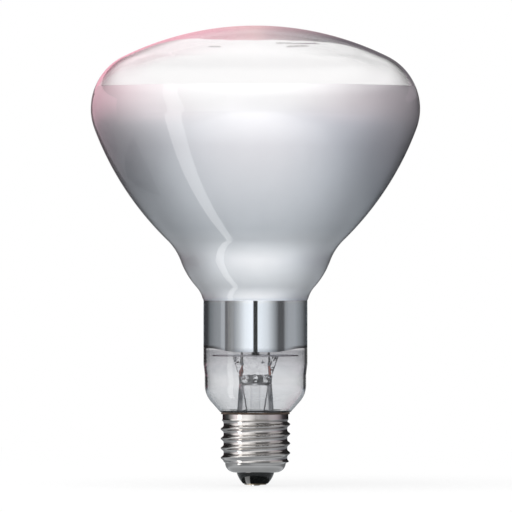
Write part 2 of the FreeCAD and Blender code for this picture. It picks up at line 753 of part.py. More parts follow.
derive("press_foot_width", "sizes.stem_top_diameter - 2 * sizes.fit_clearance")
derive("press_foot_depth", "sizes.stem_top_diameter - 4 * sizes.fit_clearance")
derive("press_waist", "sizes.press_thickness + sizes.press_taper")
press = stem.newObject("PartDesign::AdditiveLoft", "press_pinched")
press.Profile = press_section(
    "press_foot", "sizes.stem_shoulder", "derived.press_foot_width", "derived.press_foot_depth")
press.Sections = [
    press_section("press_middle", "sizes.press_start", "sizes.press_width_bottom", "derived.press_waist"),
    press_section("press_head", "sizes.press_top", "sizes.press_width_top", "sizes.press_thickness"),
]
press.Ruled = True

hollow_sketch = new_sketch(stem, "tube_inside")
chain = Outline(hollow_sketch)
under = size_of("derived.under_flange")
link = chain.line((0, under), (flare[0], under))
chain.level(link)
chain.on_axis(link, "start")
chain.up(link, "start", "derived.under_flange")
chain.across(link, "end", "derived.flare_centre")
link = chain.line((flare[0], under), (flare[0], low))
chain.upright(link)
bend = chain.arc(flare, size_of("derived.flare_inner_bend"), 270, 180, smooth=False)
chain.point(bend, "centre", "derived.flare_centre", "derived.flare_height")
chain.radius(bend, "derived.flare_inner_bend")
chain.up(bend, "end", "derived.flare_height")
last = (size_of("derived.tube_inner_foot"), flare[1])
for x, z in (
    ("derived.tube_inner_top", "derived.tube_bevel_low"),
    ("derived.tube_bevel_inner", "sizes.tube_top"),
    ("derived.exhaust_radius", "sizes.tube_top"),
    ("derived.exhaust_radius", "sizes.exhaust_seat"),
    ("derived.exhaust_bore_radius", "sizes.exhaust_seat"),
    ("derived.exhaust_bore_radius", "derived.blow_top"),
):
    link = chain.line(last, (size_of(x), size_of(z)))
    chain.point(link, "end", x, z)
    last = (size_of(x), size_of(z))
link = chain.line(last, (0, last[1]))
chain.level(link)
chain.on_axis(link, "end")
chain.line((0, last[1]), (0, under))
chain.close()
spin(stem, hollow_sketch, "tube_hollow", "PartDesign::Groove")

hole_sketch = new_sketch(stem, "blow_hole")
chain = Outline(hole_sketch)
hole = chain.circle((0, size("blow_hole_height")), "sizes.blow_hole_diameter")
chain.centre_up(hole, "sizes.blow_hole_height")
hole_sketch.addConstraint(Sketcher.Constraint("PointOnObject", hole, 3, -2))
blow = stem.newObject("PartDesign::Pocket", "blow_hole_cut")
blow.Profile = hole_sketch
blow.Type = 1
blow.Reversed = True

exhaust = new_body("exhaust_tube")
exhaust_sketch = new_sketch(exhaust, "exhaust_section")
chain = Outline(exhaust_sketch)
outer = size_of("derived.exhaust_radius")
bore = size_of("derived.exhaust_bore_radius")
seat_z = size("exhaust_seat")
tip_z = size("exhaust_tip")
link = chain.line((bore, seat_z), (outer, seat_z))
chain.level(link)
chain.point(link, "start", "derived.exhaust_bore_radius", "sizes.exhaust_seat")
link = chain.line((outer, seat_z), (outer, tip_z + outer))
chain.upright(link)
round_end = chain.arc((0, tip_z + outer), outer, 0, -90)
chain.on_axis(round_end, "centre")
chain.radius(round_end, "derived.exhaust_radius")
chain.up(round_end, "end", "sizes.exhaust_tip")
chain.on_axis(round_end, "end")
link = chain.line((0, tip_z), (0, tip_z + outer))
chain.upright(link)
chain.up(link, "end", "sizes.exhaust_tip + derived.exhaust_radius")
link = chain.line((0, tip_z + outer), (bore, tip_z + outer))
chain.level(link)
link = chain.line((bore, tip_z + outer), (bore, seat_z))
chain.upright(link)
chain.close()
spin(exhaust, exhaust_sketch, "exhaust_drawn")
finish(exhaust, "exhaust_tube")


# Wires
def sweep(body, path, name, diameter):
    """A round wire along a path sketch."""
    section = body.newObject("Sketcher::SketchObject", name + "_section")
    section.AttachmentSupport = [(path, "Edge1")]
    section.MapMode = "NormalToEdge"
    section.MapPathParameter = 0.0
    ring = Outline(section).circle((0, 0), diameter)
    section.addConstraint(Sketcher.Constraint("Coincident", ring, 3, -1, 1))
    pipe = body.newObject("PartDesign::AdditivePipe", name)
    pipe.Profile = section
    pipe.Spine = path
    return pipe


def bent_path(sketch, corners, bends):
    """Straight runs through corners, with an arc of a given radius at each corner between."""
    chain = Outline(sketch)
    points = [FreeCAD.Vector(size_of(x), size_of(z), 0) for x, z in corners]
    start = points[0]
    arcs = []
    for before, corner, after, radius in zip(points, points[1:], points[2:], bends):
        arriving = (corner - before).normalize()
        leaving = (after - corner).normalize()
        half = arriving.getAngle(leaving) / 2
        back = radius * math.tan(half)
        first = corner - arriving * back
        last = corner + leaving * back
        left = arriving.x * leaving.y - arriving.y * leaving.x > 0
        side = FreeCAD.Vector(-arriving.y, arriving.x, 0) * (radius if left else -radius)
        centre = first + side
        a = direction(centre, first)
        b = direction(centre, last)
        if left and b < a:
            b += 360
        if not left and b > a:
            b -= 360
        chain.line(start, first, smooth=bool(arcs))
        arcs.append(chain.arc(centre, radius, a, b))
        start = last
    end = chain.line(start, points[-1], smooth=bool(arcs))
    return chain, arcs, end


derive("half_coil", "sizes.coil_diameter / 2")
derive("ring_back", "sqrt((sizes.ring_diameter / 2) ^ 2 - (sizes.lead_spacing / 2) ^ 2)")
derive("clamp_bore", "derived.half_coil + sizes.fit_clearance")
derive("clamp_radius", "derived.clamp_bore + sizes.clamp_wall")
derive("lead_end", "sizes.filament_height - derived.clamp_bore - sizes.fit_clearance")
derive("lead_straight", "sizes.filament_height - sizes.lead_upright")


def inner_lead(label, side):
    body = new_body(label)
    path = new_sketch(body, label + "_path", "YZ_Plane")
    chain, arcs, end = bent_path(path, [
        ("derived.nothing", "sizes.seal_top"),
        ("derived.nothing", "sizes.lead_bend"),
        ("derived.ring_back", "derived.lead_straight"),
        ("derived.ring_back", "derived.lead_end"),
    ], [size("lead_low_bend"), size("lead_high_bend")])
    chain.upright(0)
    chain.on_axis(0, "start")
    chain.up(0, "start", "sizes.seal_top")
    chain.up(0, "end", "sizes.lead_bend")
    chain.radius(arcs[0], "sizes.lead_low_bend")
    chain.radius(arcs[1], "sizes.lead_high_bend")
    chain.upright(end)
    chain.point(end, "end", "derived.ring_back", "derived.lead_end")
    chain.up(end, "start", "derived.lead_straight")
    sweep(body, path, label + "_wire", "sizes.lead_diameter")
    body.setExpression("Placement.Base.x", "%s * sizes.lead_spacing / 2" % side)
    return finish(body, label)


left_lead = inner_lead("lead_wire_left", "-1")
right_lead = inner_lead("lead_wire_right", "1")


def seal_wire(label, side):
    wire = doc.addObject("Part::Cylinder", label)
    wire.setExpression("Radius", "sizes.seal_diameter / 2")
    wire.setExpression("Height", "sizes.seal_top - sizes.seal_bottom")
    wire.setExpression("Placement.Base.x", "%s * sizes.lead_spacing / 2" % side)
    wire.setExpression("Placement.Base.z", "sizes.seal_bottom")
    return finish(wire, label)


left_seal = seal_wire("seal_wire_left", "-1")
right_seal = seal_wire("seal_wire_right", "1")


def bent_wire(label, points, bend, diameter):
    """A wire bent in space, with the same inside bend at each corner."""
    points = [FreeCAD.Vector(*point) for point in points]
    edges = []
    start = points[0]
    for before, corner, after in zip(points, points[1:], points[2:]):
        arriving = (corner - before).normalize()
        leaving = (after - corner).normalize()
        half = arriving.getAngle(leaving) / 2
        back = bend * math.tan(half)
        first = corner - arriving * back
        last = corner + leaving * back
        middle = corner + (leaving - arriving).normalize() * (bend / math.cos(half) - bend)
        edges.append(Part.makeLine(start, first))
        edges.append(Part.Arc(first, middle, last).toShape())
        start = last
    edges.append(Part.makeLine(start, points[-1]))
    ring = Part.Wire(Part.makeCircle(diameter / 2, points[0], points[1] - points[0]))
    wire = doc.addObject("Part::Feature", label)
    wire.Shape = Part.Wire(edges).makePipeShell([ring], True, True)
    return finish(wire, label)


half = size_of("derived.lead_offset")
beside = size_of("derived.exhaust_radius") + size("outer_lead_gap")
drop_end = size("seal_bottom") - size("outer_lead_drop")
centre_lead = bent_wire("outer_lead_centre", [
    (half, 0, size("seal_bottom")),
    (half, 0, drop_end),
    (beside, 0, size_of("derived.glass_seat")),
    (beside, 0, tip_z - size("outer_lead_diameter")),
    (0, 0, size_of("derived.insulator_top") + size("centre_lead_foot")),
    (0, 0, size_of("derived.contact_top")),
], size("centre_lead_bend"), size("outer_lead_diameter"))
groove = flange + size("fit_clearance") + size("outer_lead_diameter") / 2
bead_middle = size("cap_height") + size("cement_line") / 2
under_stem = low - size("side_lead_drop")
side_lead = bent_wire("outer_lead_side", [
    (-half, 0, size("seal_bottom")),
    (-half, 0, drop_end),
    (-beside, 0, size_of("derived.glass_seat")),
    (-beside, 0, under_stem),
    (0, groove, under_stem),
    (0, groove, bead_middle),
    (0, size("cement_radius"), bead_middle),
], size("side_lead_bend"), size("outer_lead_diameter"))


def carve(base, tools, label):
    """Cut the tools out of a piece, so that the pieces meet face to face."""
    tool = tools[0]
    if len(tools) > 1:
        tool = doc.addObject("Part::MultiFuse", label + "_tools")
        tool.Shapes = tools
    cut = doc.addObject("Part::Cut", label)
    cut.Base = base
    cut.Tool = tool
    return finish(cut, label)


carve(stem, [left_lead, right_lead, left_seal, right_seal, centre_lead, side_lead], "stem")

cement_ring = new_body("cement_ring")
cement_sketch = new_sketch(cement_ring, "cement_section")
polygon(cement_sketch, [
    ("derived.neck_end_radius", "derived.cement_bottom"),
    ("derived.cement_outer", "derived.cement_bottom"),
    ("derived.cement_outer", "sizes.cap_height"),
    ("sizes.cement_radius", "sizes.cap_height"),
    ("sizes.cement_radius", "derived.glass_seat"),
    ("derived.neck_end_radius", "derived.glass_seat"),
])
spin(cement_ring, cement_sketch, "cement_set")
cement = carve(cement_ring, [side_lead], "cap_cement")

solder_drop = new_body("solder_drop")
drop_sketch = new_sketch(solder_drop, "drop_section")
polygon(drop_sketch, [
    ("derived.nothing", "derived.nothing"),
    ("derived.solder_flat", "derived.nothing"),
    ("derived.solder_radius", "sizes.solder_height"),
    ("derived.eyelet_radius", "sizes.solder_height"),
    ("derived.eyelet_radius", "derived.solder_top"),
    ("derived.nothing", "derived.solder_top"),
])
spin(solder_drop, drop_sketch, "drop_set")
carve(solder_drop, [centre_lead], "centre_solder")

solder_blob = doc.addObject("Part::Ellipsoid", "solder_blob")
solder_blob.setExpression("Radius1", "sizes.side_solder_height / 2")
solder_blob.setExpression("Radius2", "sizes.side_solder_width / 2")
solder_blob.setExpression("Radius3", "sizes.side_solder_depth / 2")
solder_blob.setExpression("Placement.Base.y", "derived.cap_rim_radius + sizes.side_solder_depth / 4")
solder_blob.setExpression("Placement.Base.z", "sizes.cap_height - sizes.side_solder_height / 8")
carve(solder_blob, [shell, cement, side_lead], "side_solder")

# Heat shield and filament mount
shield = new_body("deflector_disc")
shield_sketch = new_sketch(shield, "disc_outline", "XY_Plane")
shield_sketch.setExpression("AttachmentOffset.Base.z", "sizes.press_top")
chain = Outline(shield_sketch)
for diameter in ("sizes.disc_diameter", "derived.disc_hole"):
    ring = chain.circle((0, 0), diameter)
    shield_sketch.addConstraint(Sketcher.Constraint("Coincident", ring, 3, -1, 1))
right_hole = chain.circle((half, 0), "derived.lead_hole")
left_hole = chain.circle((-half, 0), "derived.lead_hole")
shield_sketch.addConstraint(Sketcher.Constraint("PointOnObject", right_hole, 3, -1))
shield_sketch.addConstraint(Sketcher.Constraint("Symmetric", right_hole, 3, left_hole, 3, -1, 1))
chain.centre_across(right_hole, "derived.lead_offset")
plate_pad = shield.newObject("PartDesign::Pad", "disc_stamped")
plate_pad.Profile = shield_sketch
plate_pad.setExpression("Length", "sizes.disc_thickness")
finish(shield, "deflector_disc")

coil = new_body("filament")
coil_sketch = new_sketch(coil, "coil_section")
chain = Outline(coil_sketch)
ring = chain.circle((size_of("derived.ring_radius"), size("filament_height")), "sizes.coil_diameter")
chain.centre_across(ring, "derived.ring_radius")
chain.centre_up(ring, "sizes.filament_height")
bow = spin(coil, coil_sketch, "coil_bow")
bow.Midplane = True
gap = math.degrees(math.asin(size("lead_spacing") / size("ring_diameter")))
bow.setExpression("Angle", "360deg - 2 * asin(sizes.lead_spacing / sizes.ring_diameter)")
coil.Placement = FreeCAD.Placement(FreeCAD.Vector(), FreeCAD.Rotation(FreeCAD.Vector(0, 0, 1), -90))
finish(coil, "filament")

supports = []
support_count = int(size("support_count"))
support_step = (360 - 2 * gap) / (support_count + 1)
for number in range(1, support_count + 1):
    label = "filament_support_%d" % number
    body = new_body(label)
    path = new_sketch(body, label + "_path")
    hook = size_of("derived.hook_radius")
    eye = (size_of("derived.ring_radius"), size("filament_height"))
    root_point = (size_of("derived.bead_radius") / 2, size("bead_height"))
    toward = direction(root_point, eye)
    apart = math.hypot(eye[0] - root_point[0], eye[1] - root_point[1])
    lean = toward - math.degrees(math.asin(hook / apart))
    touch = (
        eye[0] + hook * math.cos(math.radians(lean - 90)), eye[1] + hook * math.sin(math.radians(lean - 90)))
    chain = Outline(path)
    strut = chain.line(root_point, touch)
    chain.point(strut, "start", "derived.bead_radius / 2", "sizes.bead_height")
    curl = chain.arc(eye, hook, lean - 90, 180)
    chain.point(curl, "centre", "derived.ring_radius", "sizes.filament_height")
    chain.radius(curl, "derived.hook_radius")
    index, place = chain.spot(curl, "end")
    path.addConstraint(Sketcher.Constraint("Horizontal", index, place, index, 3))
    sweep(body, path, label + "_wire", "sizes.support_diameter")
    angle = gap + 90 + number * support_step
    body.Placement = FreeCAD.Placement(FreeCAD.Vector(), FreeCAD.Rotation(FreeCAD.Vector(0, 0, 1), angle))
    supports.append(finish(body, label))

cane = new_body("glass_cane")
cane_sketch = new_sketch(cane, "cane_section")
chain = Outline(cane_sketch)
rod = size_of("derived.arbor_radius")
bead = size_of("derived.bead_radius")
neck = math.degrees(math.acos(rod / bead))
link = chain.line((0, size("press_top")), (rod, size("press_top")))
chain.level(link)
chain.on_axis(link, "start")
chain.up(link, "start", "sizes.press_top")
link = chain.line((rod, size("press_top")), (rod, size("bead_height") - math.sqrt(bead**2 - rod**2)))
chain.upright(link)
chain.across(link, "end", "derived.arbor_radius")
ball = chain.arc((0, size("bead_height")), bead, -neck, 90, smooth=False)
chain.on_axis(ball, "centre")
chain.up(ball, "centre", "sizes.bead_height")
chain.radius(ball, "derived.bead_radius")
chain.on_axis(ball, "end")
chain.line((0, size("bead_height") + bead), (0, size("press_top")))
chain.close()
spin(cane, cane_sketch, "cane_drawn")
carve(cane, supports, "arbor_rod")


def clamp(label, lead, side):
    """A crimp round the end of the filament, standing on its lead."""
    angle = math.radians(90 - side * gap)
    along = FreeCAD.Vector(math.sin(angle), -math.cos(angle), 0)
    rim = FreeCAD.Vector(math.cos(angle), math.sin(angle), 0) * size_of("derived.ring_radius")
    rim.z = size("filament_height")
    tubes = []
    for name, radius in ((label + "_outer", "derived.clamp_radius"), (label + "_bore", "derived.clamp_bore")):
        tube = doc.addObject("Part::Cylinder", name)
        tube.setExpression("Radius", radius)
        tube.setExpression("Height", "sizes.clamp_length")
        tube.Placement = FreeCAD.Placement(
            rim - along * size("clamp_length") / 2, FreeCAD.Rotation(FreeCAD.Vector(0, 0, 1), along))
        tubes.append(tube)
    return carve(tubes[0], [tubes[1], lead], label)


clamp("lead_clamp_left", left_lead, -1)
clamp("lead_clamp_right", right_lead, 1)

doc.recompute()
for item in doc.Objects:
    if "Invalid" in item.State or "Error" in item.State:
        raise RuntimeError("%s did not compute" % item.Label)
os.makedirs("parts", exist_ok=True)
for item in finished:
    if item.Shape.isNull() or not item.Shape.isValid():
        raise RuntimeError("%s has no valid shape" % item.Label)
    item.Shape.exportStep("parts/%s.step" % item.Label)
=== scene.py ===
import bmesh
import bpy
import math
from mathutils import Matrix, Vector


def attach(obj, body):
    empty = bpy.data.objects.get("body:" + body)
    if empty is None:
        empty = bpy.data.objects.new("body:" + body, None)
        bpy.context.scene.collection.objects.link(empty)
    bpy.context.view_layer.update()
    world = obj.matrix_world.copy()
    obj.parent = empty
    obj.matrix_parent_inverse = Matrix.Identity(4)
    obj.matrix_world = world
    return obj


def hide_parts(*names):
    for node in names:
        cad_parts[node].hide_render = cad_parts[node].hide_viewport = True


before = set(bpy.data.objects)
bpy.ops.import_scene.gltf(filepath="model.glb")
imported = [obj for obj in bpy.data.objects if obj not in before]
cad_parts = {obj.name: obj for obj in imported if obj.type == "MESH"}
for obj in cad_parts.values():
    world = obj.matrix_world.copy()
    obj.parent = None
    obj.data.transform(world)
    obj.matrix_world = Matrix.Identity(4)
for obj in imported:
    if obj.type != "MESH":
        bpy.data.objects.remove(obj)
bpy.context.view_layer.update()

# Infrared heat lamp bulb, in metres, cap down, +Z up. The origin is the tip of the centre contact,
# and the lamp is seen from -Y. Glass, film and cap follow the same arcs as the part's solids.

MM = 0.001


# Outlines, in millimetres, as points (radius, height)

def crossing(first, first_radius, second, second_radius, rightmost):
    """Where two circles meet."""
    across = second[0] - first[0]
    up = second[1] - first[1]
    apart = math.hypot(across, up)
    along = (first_radius**2 - second_radius**2 + apart**2) / (2 * apart)
    aside = math.sqrt(first_radius**2 - along**2)
    foot = (first[0] + along * across / apart, first[1] + along * up / apart)
    points = [
        (foot[0] - aside * up / apart, foot[1] + aside * across / apart),
        (foot[0] + aside * up / apart, foot[1] - aside * across / apart),
    ]
    return max(points) if rightmost else min(points)


def bearing(start, end):
    """The direction from one point to another, in degrees."""
    return math.degrees(math.atan2(end[1] - start[1], end[0] - start[0]))


def arc(centre, radius, first, last, step):
    """Points along an arc from one angle to another, in degrees, about step millimetres apart."""
    turn = math.radians(last - first)
    count = max(2, math.ceil(abs(turn) * radius / step))
    points = []
    for index in range(count + 1):
        angle = math.radians(first) + turn * index / count
        points.append((centre[0] + radius * math.cos(angle), centre[1] + radius * math.sin(angle)))
    return points


def straight(start, end, step):
    """Points along a line, at most step millimetres apart."""
    count = max(1, math.ceil(math.dist(start, end) / step))
    return [
        (start[0] + (end[0] - start[0]) * index / count, start[1] + (end[1] - start[1]) * index / count)
        for index in range(count + 1)
    ]


def joined(*runs):
    """Runs of points as one outline, without the points that two runs share."""
    outline = []
    for run in runs:
        for point in run:
            if not outline or math.dist(outline[-1], point) > 1e-4:
                outline.append(point)
    return outline


bulb_length = 174.4
rim_centre = (40.5, 142.9)
rim_radius = 22.0
flank_radius = 115.0
waist_point = (31.5, 91.1)
waist_fillet = 21.0
bulge_centre = (0.0, 95.5)
bulge_radius = 30.2
neck_radius = 19.75
neck_fillet = 10.3
lower_neck_radius = 19.25
neck_step = (46.2, 42.0)
shoulder_radius = 9.6
shoulder_slope = math.radians(41.6)
seat = (13.4, 27.9)
glass_wall = 1.0
glass_end = (11.0, 21.0)
film_top = 150.9
film_bottom = 51.6
bright_neck_top = 70.2
film_waver_depth = 0.9 * MM
wall_step = 1.1
band_blend = 0.12
band_gap = 0.5

dome_rise = bulb_length - rim_centre[1]
dome_radius = (rim_centre[0] ** 2 + dome_rise**2 - rim_radius**2) / (2 * (dome_rise - rim_radius))
dome_centre = (0.0, bulb_length - dome_radius)
flank_centre = crossing(waist_point, flank_radius, rim_centre, flank_radius - rim_radius, False)
waist_centre = crossing(
    flank_centre, flank_radius + waist_fillet, bulge_centre, bulge_radius + waist_fillet, True)
fillet_x = neck_radius + neck_fillet
fillet_centre = (fillet_x, bulge_centre[1] - math.sqrt((bulge_radius + neck_fillet) ** 2 - fillet_x**2))
dome_edge = bearing(dome_centre, rim_centre)
flank_top = bearing(flank_centre, rim_centre)
flank_foot = bearing(flank_centre, waist_centre)
bulge_top = bearing(bulge_centre, waist_centre)
bulge_foot = bearing(bulge_centre, fillet_centre)
shoulder_x = lower_neck_radius - shoulder_radius
shoulder_z = seat[1] + (
    shoulder_radius - (seat[0] - shoulder_x) * math.cos(shoulder_slope)) / math.sin(shoulder_slope)


def side_wall(inset, rim_start, foot):
    """The bulb's wall from its rim down to the neck, set in from the outside of the glass.

    The neck runs straight up to the top of the bright band, a little past its fillet's end, so that the band
    ends cleanly."""
    inner_neck = neck_radius - inset
    fillet = arc(fillet_centre, neck_fillet + inset, bulge_foot + 180, 180, wall_step / 2)
    return joined(
        arc(rim_centre, rim_radius - inset, rim_start, flank_top, wall_step),
        arc(flank_centre, flank_radius - inset, flank_top, flank_foot, wall_step),
        arc(waist_centre, waist_fillet + inset, flank_foot + 180, bulge_top + 180, wall_step / 2),
        arc(bulge_centre, bulge_radius - inset, bulge_top, bulge_foot, wall_step),
        [point for point in fillet if point[1] > bright_neck_top + band_gap],
        [(inner_neck, bright_neck_top + band_blend)],
        straight((inner_neck, bright_neck_top), (inner_neck, foot), wall_step),
    )


def glass_wall_outline(inset):
    """From the middle of the dome to the open end of the neck, set in from the outside of the glass."""
    inner_lower = lower_neck_radius - inset
    bend = shoulder_radius - inset
    shoulder_end = (
        shoulder_x + bend * math.cos(shoulder_slope), shoulder_z - bend * math.sin(shoulder_slope))
    ledge = seat[1] + inset
    cone_end = (shoulder_end[0] - (shoulder_end[1] - ledge) * math.tan(shoulder_slope), ledge)
    return joined(
        arc(dome_centre, dome_radius - inset, 90, dome_edge, wall_step),
        side_wall(inset, dome_edge, neck_step[0]),
        straight((neck_radius - inset, neck_step[0]), (inner_lower, neck_step[1]), wall_step),
        straight((inner_lower, neck_step[1]), (inner_lower, shoulder_z), wall_step),
        arc((shoulder_x, shoulder_z), bend, 0, -math.degrees(shoulder_slope), wall_step / 2),
        straight(shoulder_end, cone_end, wall_step),
        straight(cone_end, (glass_end[0] - inset, ledge), wall_step),
        straight((glass_end[0] - inset, ledge), (glass_end[0] - inset, glass_end[1]), wall_step),
    )


# Node trees

def feed(tree, socket, value):
    """Gives a socket another node's output, or a plain value."""
    if isinstance(value, bpy.types.NodeSocket):
        tree.links.new(value, socket)
    else:
        socket.default_value = value


def add_node(tree, kind, values=None, **settings):
    """A node with its settings made and its inputs fed."""
    node = tree.nodes.new(kind)
    for name, value in settings.items():
        setattr(node, name, value)
    for name, value in (values or {}).items():
        feed(tree, node.inputs[name], value)
    return node


def reckon(tree, operation, *values):
    """A Math node's result."""
    node = tree.nodes.new("ShaderNodeMath")
    node.operation = operation
    for socket, value in zip(node.inputs, values):
        feed(tree, socket, value)
    return node.outputs[0]


def eased(tree, value, low, high):
    """0 at low and 1 at high, with soft ends."""
    node = add_node(tree, "ShaderNodeMapRange", interpolation_type="SMOOTHSTEP")
    feed(tree, node.inputs["Value"], value)
    node.inputs["From Min"].default_value = low
    node.inputs["From Max"].default_value = high
    return node.outputs[0]


def ramp(tree, value, stops):
    """Brightness, or a colour, along a value from 0 to 1."""
    node = add_node(tree, "ShaderNodeValToRGB", {"Fac": value})
    elements = node.color_ramp.elements
    for index, (position, shade) in enumerate(stops):
        if index < 2:
            element = elements[index]
            element.position = position
        else:
            element = elements.new(position)
        element.color = (*shade, 1) if isinstance(shade, tuple) else (shade, shade, shade, 1)
    return node.outputs[0]


def spread_ramp(tree, value, low, high, stops):
    """Brightness, or a colour, along a value from low to high."""
    share = reckon(tree, "MULTIPLY_ADD", value, 1 / (high - low), -low / (high - low))
    return ramp(tree, share, [((place - low) / (high - low), shade) for place, shade in stops])


# A Mix node's sockets for colours
first_colour = 6
second_colour = 7
mixed_colour = 2


def blend(tree, share, first, second):
    """The first colour where the share is 0, the second where it is 1."""
    mix = add_node(tree, "ShaderNodeMix", {
        "Factor": share, first_colour: first, second_colour: second}, data_type="RGBA")
    return mix.outputs[mixed_colour]


def times(tree, first, second):
    """One colour multiplied by another."""
    mix = add_node(tree, "ShaderNodeMix", {
        "Factor": 1.0, first_colour: first, second_colour: second}, data_type="RGBA", blend_type="MULTIPLY")
    return mix.outputs[mixed_colour]


def shape_tree(name, sizes):
    """An empty Geometry Nodes tree with named inputs, and what its nodes start from."""
    tree = bpy.data.node_groups.new(name, "GeometryNodeTree")
    tree.interface.new_socket("Geometry", in_out="INPUT", socket_type="NodeSocketGeometry")
    for label, value in sizes.items():
        kind = "NodeSocketInt" if isinstance(value, int) else "NodeSocketFloat"
        tree.interface.new_socket(label, in_out="INPUT", socket_type=kind)
    tree.interface.new_socket("Geometry", in_out="OUTPUT", socket_type="NodeSocketGeometry")
    return tree, tree.nodes.new("NodeGroupInput").outputs


def end_tree(tree, mesh, finish):
    """Realize Instances and Set Material close every tree."""
    real = add_node(tree, "GeometryNodeRealizeInstances", {"Geometry": mesh})
    dressed = add_node(tree, "GeometryNodeSetMaterial", {"Geometry": real.outputs[0], "Material": finish})
    out = tree.nodes.new("NodeGroupOutput")
    tree.links.new(dressed.outputs[0], out.inputs[0])


def grown(name, tree, sizes, start):
    """The mesh that a tree makes from a starting mesh, as a plain object."""
    seed = bpy.data.objects.new(name + "_start", start)
    bpy.context.scene.collection.objects.link(seed)
    modifier = seed.modifiers.new("shape", "NODES")
    modifier.node_group = tree
    for item in tree.interface.items_tree:
        if item.in_out == "INPUT" and item.name in sizes:
            modifier[item.identifier] = sizes[item.name]
    bpy.context.view_layer.update()
    evaluated = seed.evaluated_get(bpy.context.evaluated_depsgraph_get())
    mesh = bpy.data.meshes.new_from_object(evaluated)
    mesh.name = name
    seed.modifiers.clear()
    bpy.data.objects.remove(seed)
    return placed(name, mesh)


def placed(name, mesh):
    """A mesh as an object of the scene, at the origin."""
    piece = bpy.data.objects.new(name, mesh)
    bpy.context.scene.collection.objects.link(piece)
    return piece


def cleaned(piece, sharp=35.0, merge=1e-6, outward=True):
    """Doubles merged, faces outwards, smooth except across sharp edges."""
    mesh = piece.data
    work = bmesh.new()
    work.from_mesh(mesh)
    bmesh.ops.remove_doubles(work, verts=work.verts, dist=merge)
    bmesh.ops.dissolve_degenerate(work, edges=work.edges, dist=merge)
    if outward:
        bmesh.ops.recalc_face_normals(work, faces=work.faces)
    work.to_mesh(mesh)
    work.free()
    for face in mesh.polygons:
        face.use_smooth = True
    mesh.set_sharp_from_angle(angle=math.radians(sharp))
    return piece


def section_mesh(name, outline, thread, waver):
    """A half section in the XZ plane as a chain of points, and how much each one is threaded or wavers."""
    mesh = bpy.data.meshes.new(name)
    chain = [(index, index + 1) for index in range(len(outline) - 1)]
    mesh.from_pydata([(radius * MM, 0, height * MM) for radius, height in outline], chain, [])
    for label, values in (("thread", thread), ("waver", waver)):
        share = mesh.attributes.new(label, "FLOAT", "POINT")
        share.data.foreach_set("value", values or [0.0] * len(outline))
    return mesh


turned_sizes = {
    "Segments": 160,
    "Thread pitch": 3.629 * MM,
    "Thread depth": 0.0,
    "Crest height": 12.35 * MM,
    "Crest sharpness": 2.1,
    "Waver": 0.0,
}


def waver_at(tree, turn):
    """The uneven line, round the axis, at which the film ends: two slow swings with seven small ripples."""
    swing = reckon(tree, "COSINE", reckon(tree, "MULTIPLY", turn, 2.0))
    ripple = reckon(tree, "SINE", reckon(tree, "MULTIPLY", turn, 7.0))
    return reckon(tree, "MULTIPLY_ADD", ripple, 0.18, swing)


def turned_tree(finish):
    """A half section turned round the axis, with a right-hand thread where its points carry one."""
    tree, given = shape_tree("turned", turned_sizes)
    section = given["Geometry"]
    count = add_node(tree, "GeometryNodeAttributeDomainSize", {"Geometry": section}, component="MESH")
    points = count.outputs["Point Count"]
    grid = add_node(tree, "GeometryNodeMeshGrid", {
        "Vertices X": reckon(tree, "ADD", given["Segments"], 1), "Vertices Y": points})
    spread = add_node(tree, "ShaderNodeSeparateXYZ", {0: grid.outputs["UV Map"]})
    last = reckon(tree, "SUBTRACT", points, 1)
    index = reckon(tree, "ROUND", reckon(tree, "MULTIPLY", spread.outputs["Y"], last))
    place = add_node(tree, "GeometryNodeSampleIndex", {
        "Geometry": section, "Value": tree.nodes.new("GeometryNodeInputPosition").outputs[0], "Index": index,
    }, data_type="FLOAT_VECTOR")

    def carried(label):
        stored = add_node(tree, "GeometryNodeInputNamedAttribute", {"Name": label}, data_type="FLOAT")
        taken = add_node(tree, "GeometryNodeSampleIndex", {
            "Geometry": section, "Value": stored.outputs["Attribute"], "Index": index}, data_type="FLOAT")
        return taken.outputs[0]

    spot = add_node(tree, "ShaderNodeSeparateXYZ", {0: place.outputs[0]})
    turn = reckon(tree, "MULTIPLY", spread.outputs["X"], math.tau)
    above = reckon(tree, "SUBTRACT", spot.outputs["Z"], given["Crest height"])
    climb = reckon(tree, "MULTIPLY", reckon(tree, "DIVIDE", above, given["Thread pitch"]), math.tau)
    wave = reckon(tree, "COSINE", reckon(tree, "SUBTRACT", climb, turn))
    crest = reckon(tree, "POWER", reckon(tree, "MULTIPLY_ADD", wave, 0.5, 0.5), given["Crest sharpness"])
    lift = reckon(tree, "MULTIPLY", reckon(tree, "MULTIPLY", crest, carried("thread")), given["Thread depth"])
    radius = reckon(tree, "ADD", spot.outputs["X"], lift)
    sway = reckon(tree, "MULTIPLY", waver_at(tree, turn), carried("waver"))
    sway = reckon(tree, "MULTIPLY", sway, given["Waver"])
    around = add_node(tree, "ShaderNodeCombineXYZ", {
        "X": reckon(tree, "MULTIPLY", radius, reckon(tree, "COSINE", turn)),
        "Y": reckon(tree, "MULTIPLY", radius, reckon(tree, "SINE", turn)),
        "Z": reckon(tree, "ADD", spot.outputs["Z"], sway),
    })
    moved = add_node(tree, "GeometryNodeSetPosition", {
        "Geometry": grid.outputs["Mesh"], "Position": around.outputs[0]})
    closed = add_node(tree, "GeometryNodeMergeByDistance", {"Geometry": moved.outputs[0], "Distance": 1e-6})
    end_tree(tree, closed.outputs[0], finish)
    return tree


def turned(name, outline, finish, sharp=35.0, thread=None, waver=None, **changes):
    """A turned piece. The tree's other inputs are given by their names, with _ for a space."""
    sizes = dict(turned_sizes)
    for label, value in changes.items():
        sizes[label.replace("_", " ")] = value
    piece = grown(name, turned_tree(finish), sizes, section_mesh(name + "_section", outline, thread, waver))
    return cleaned(piece, sharp)


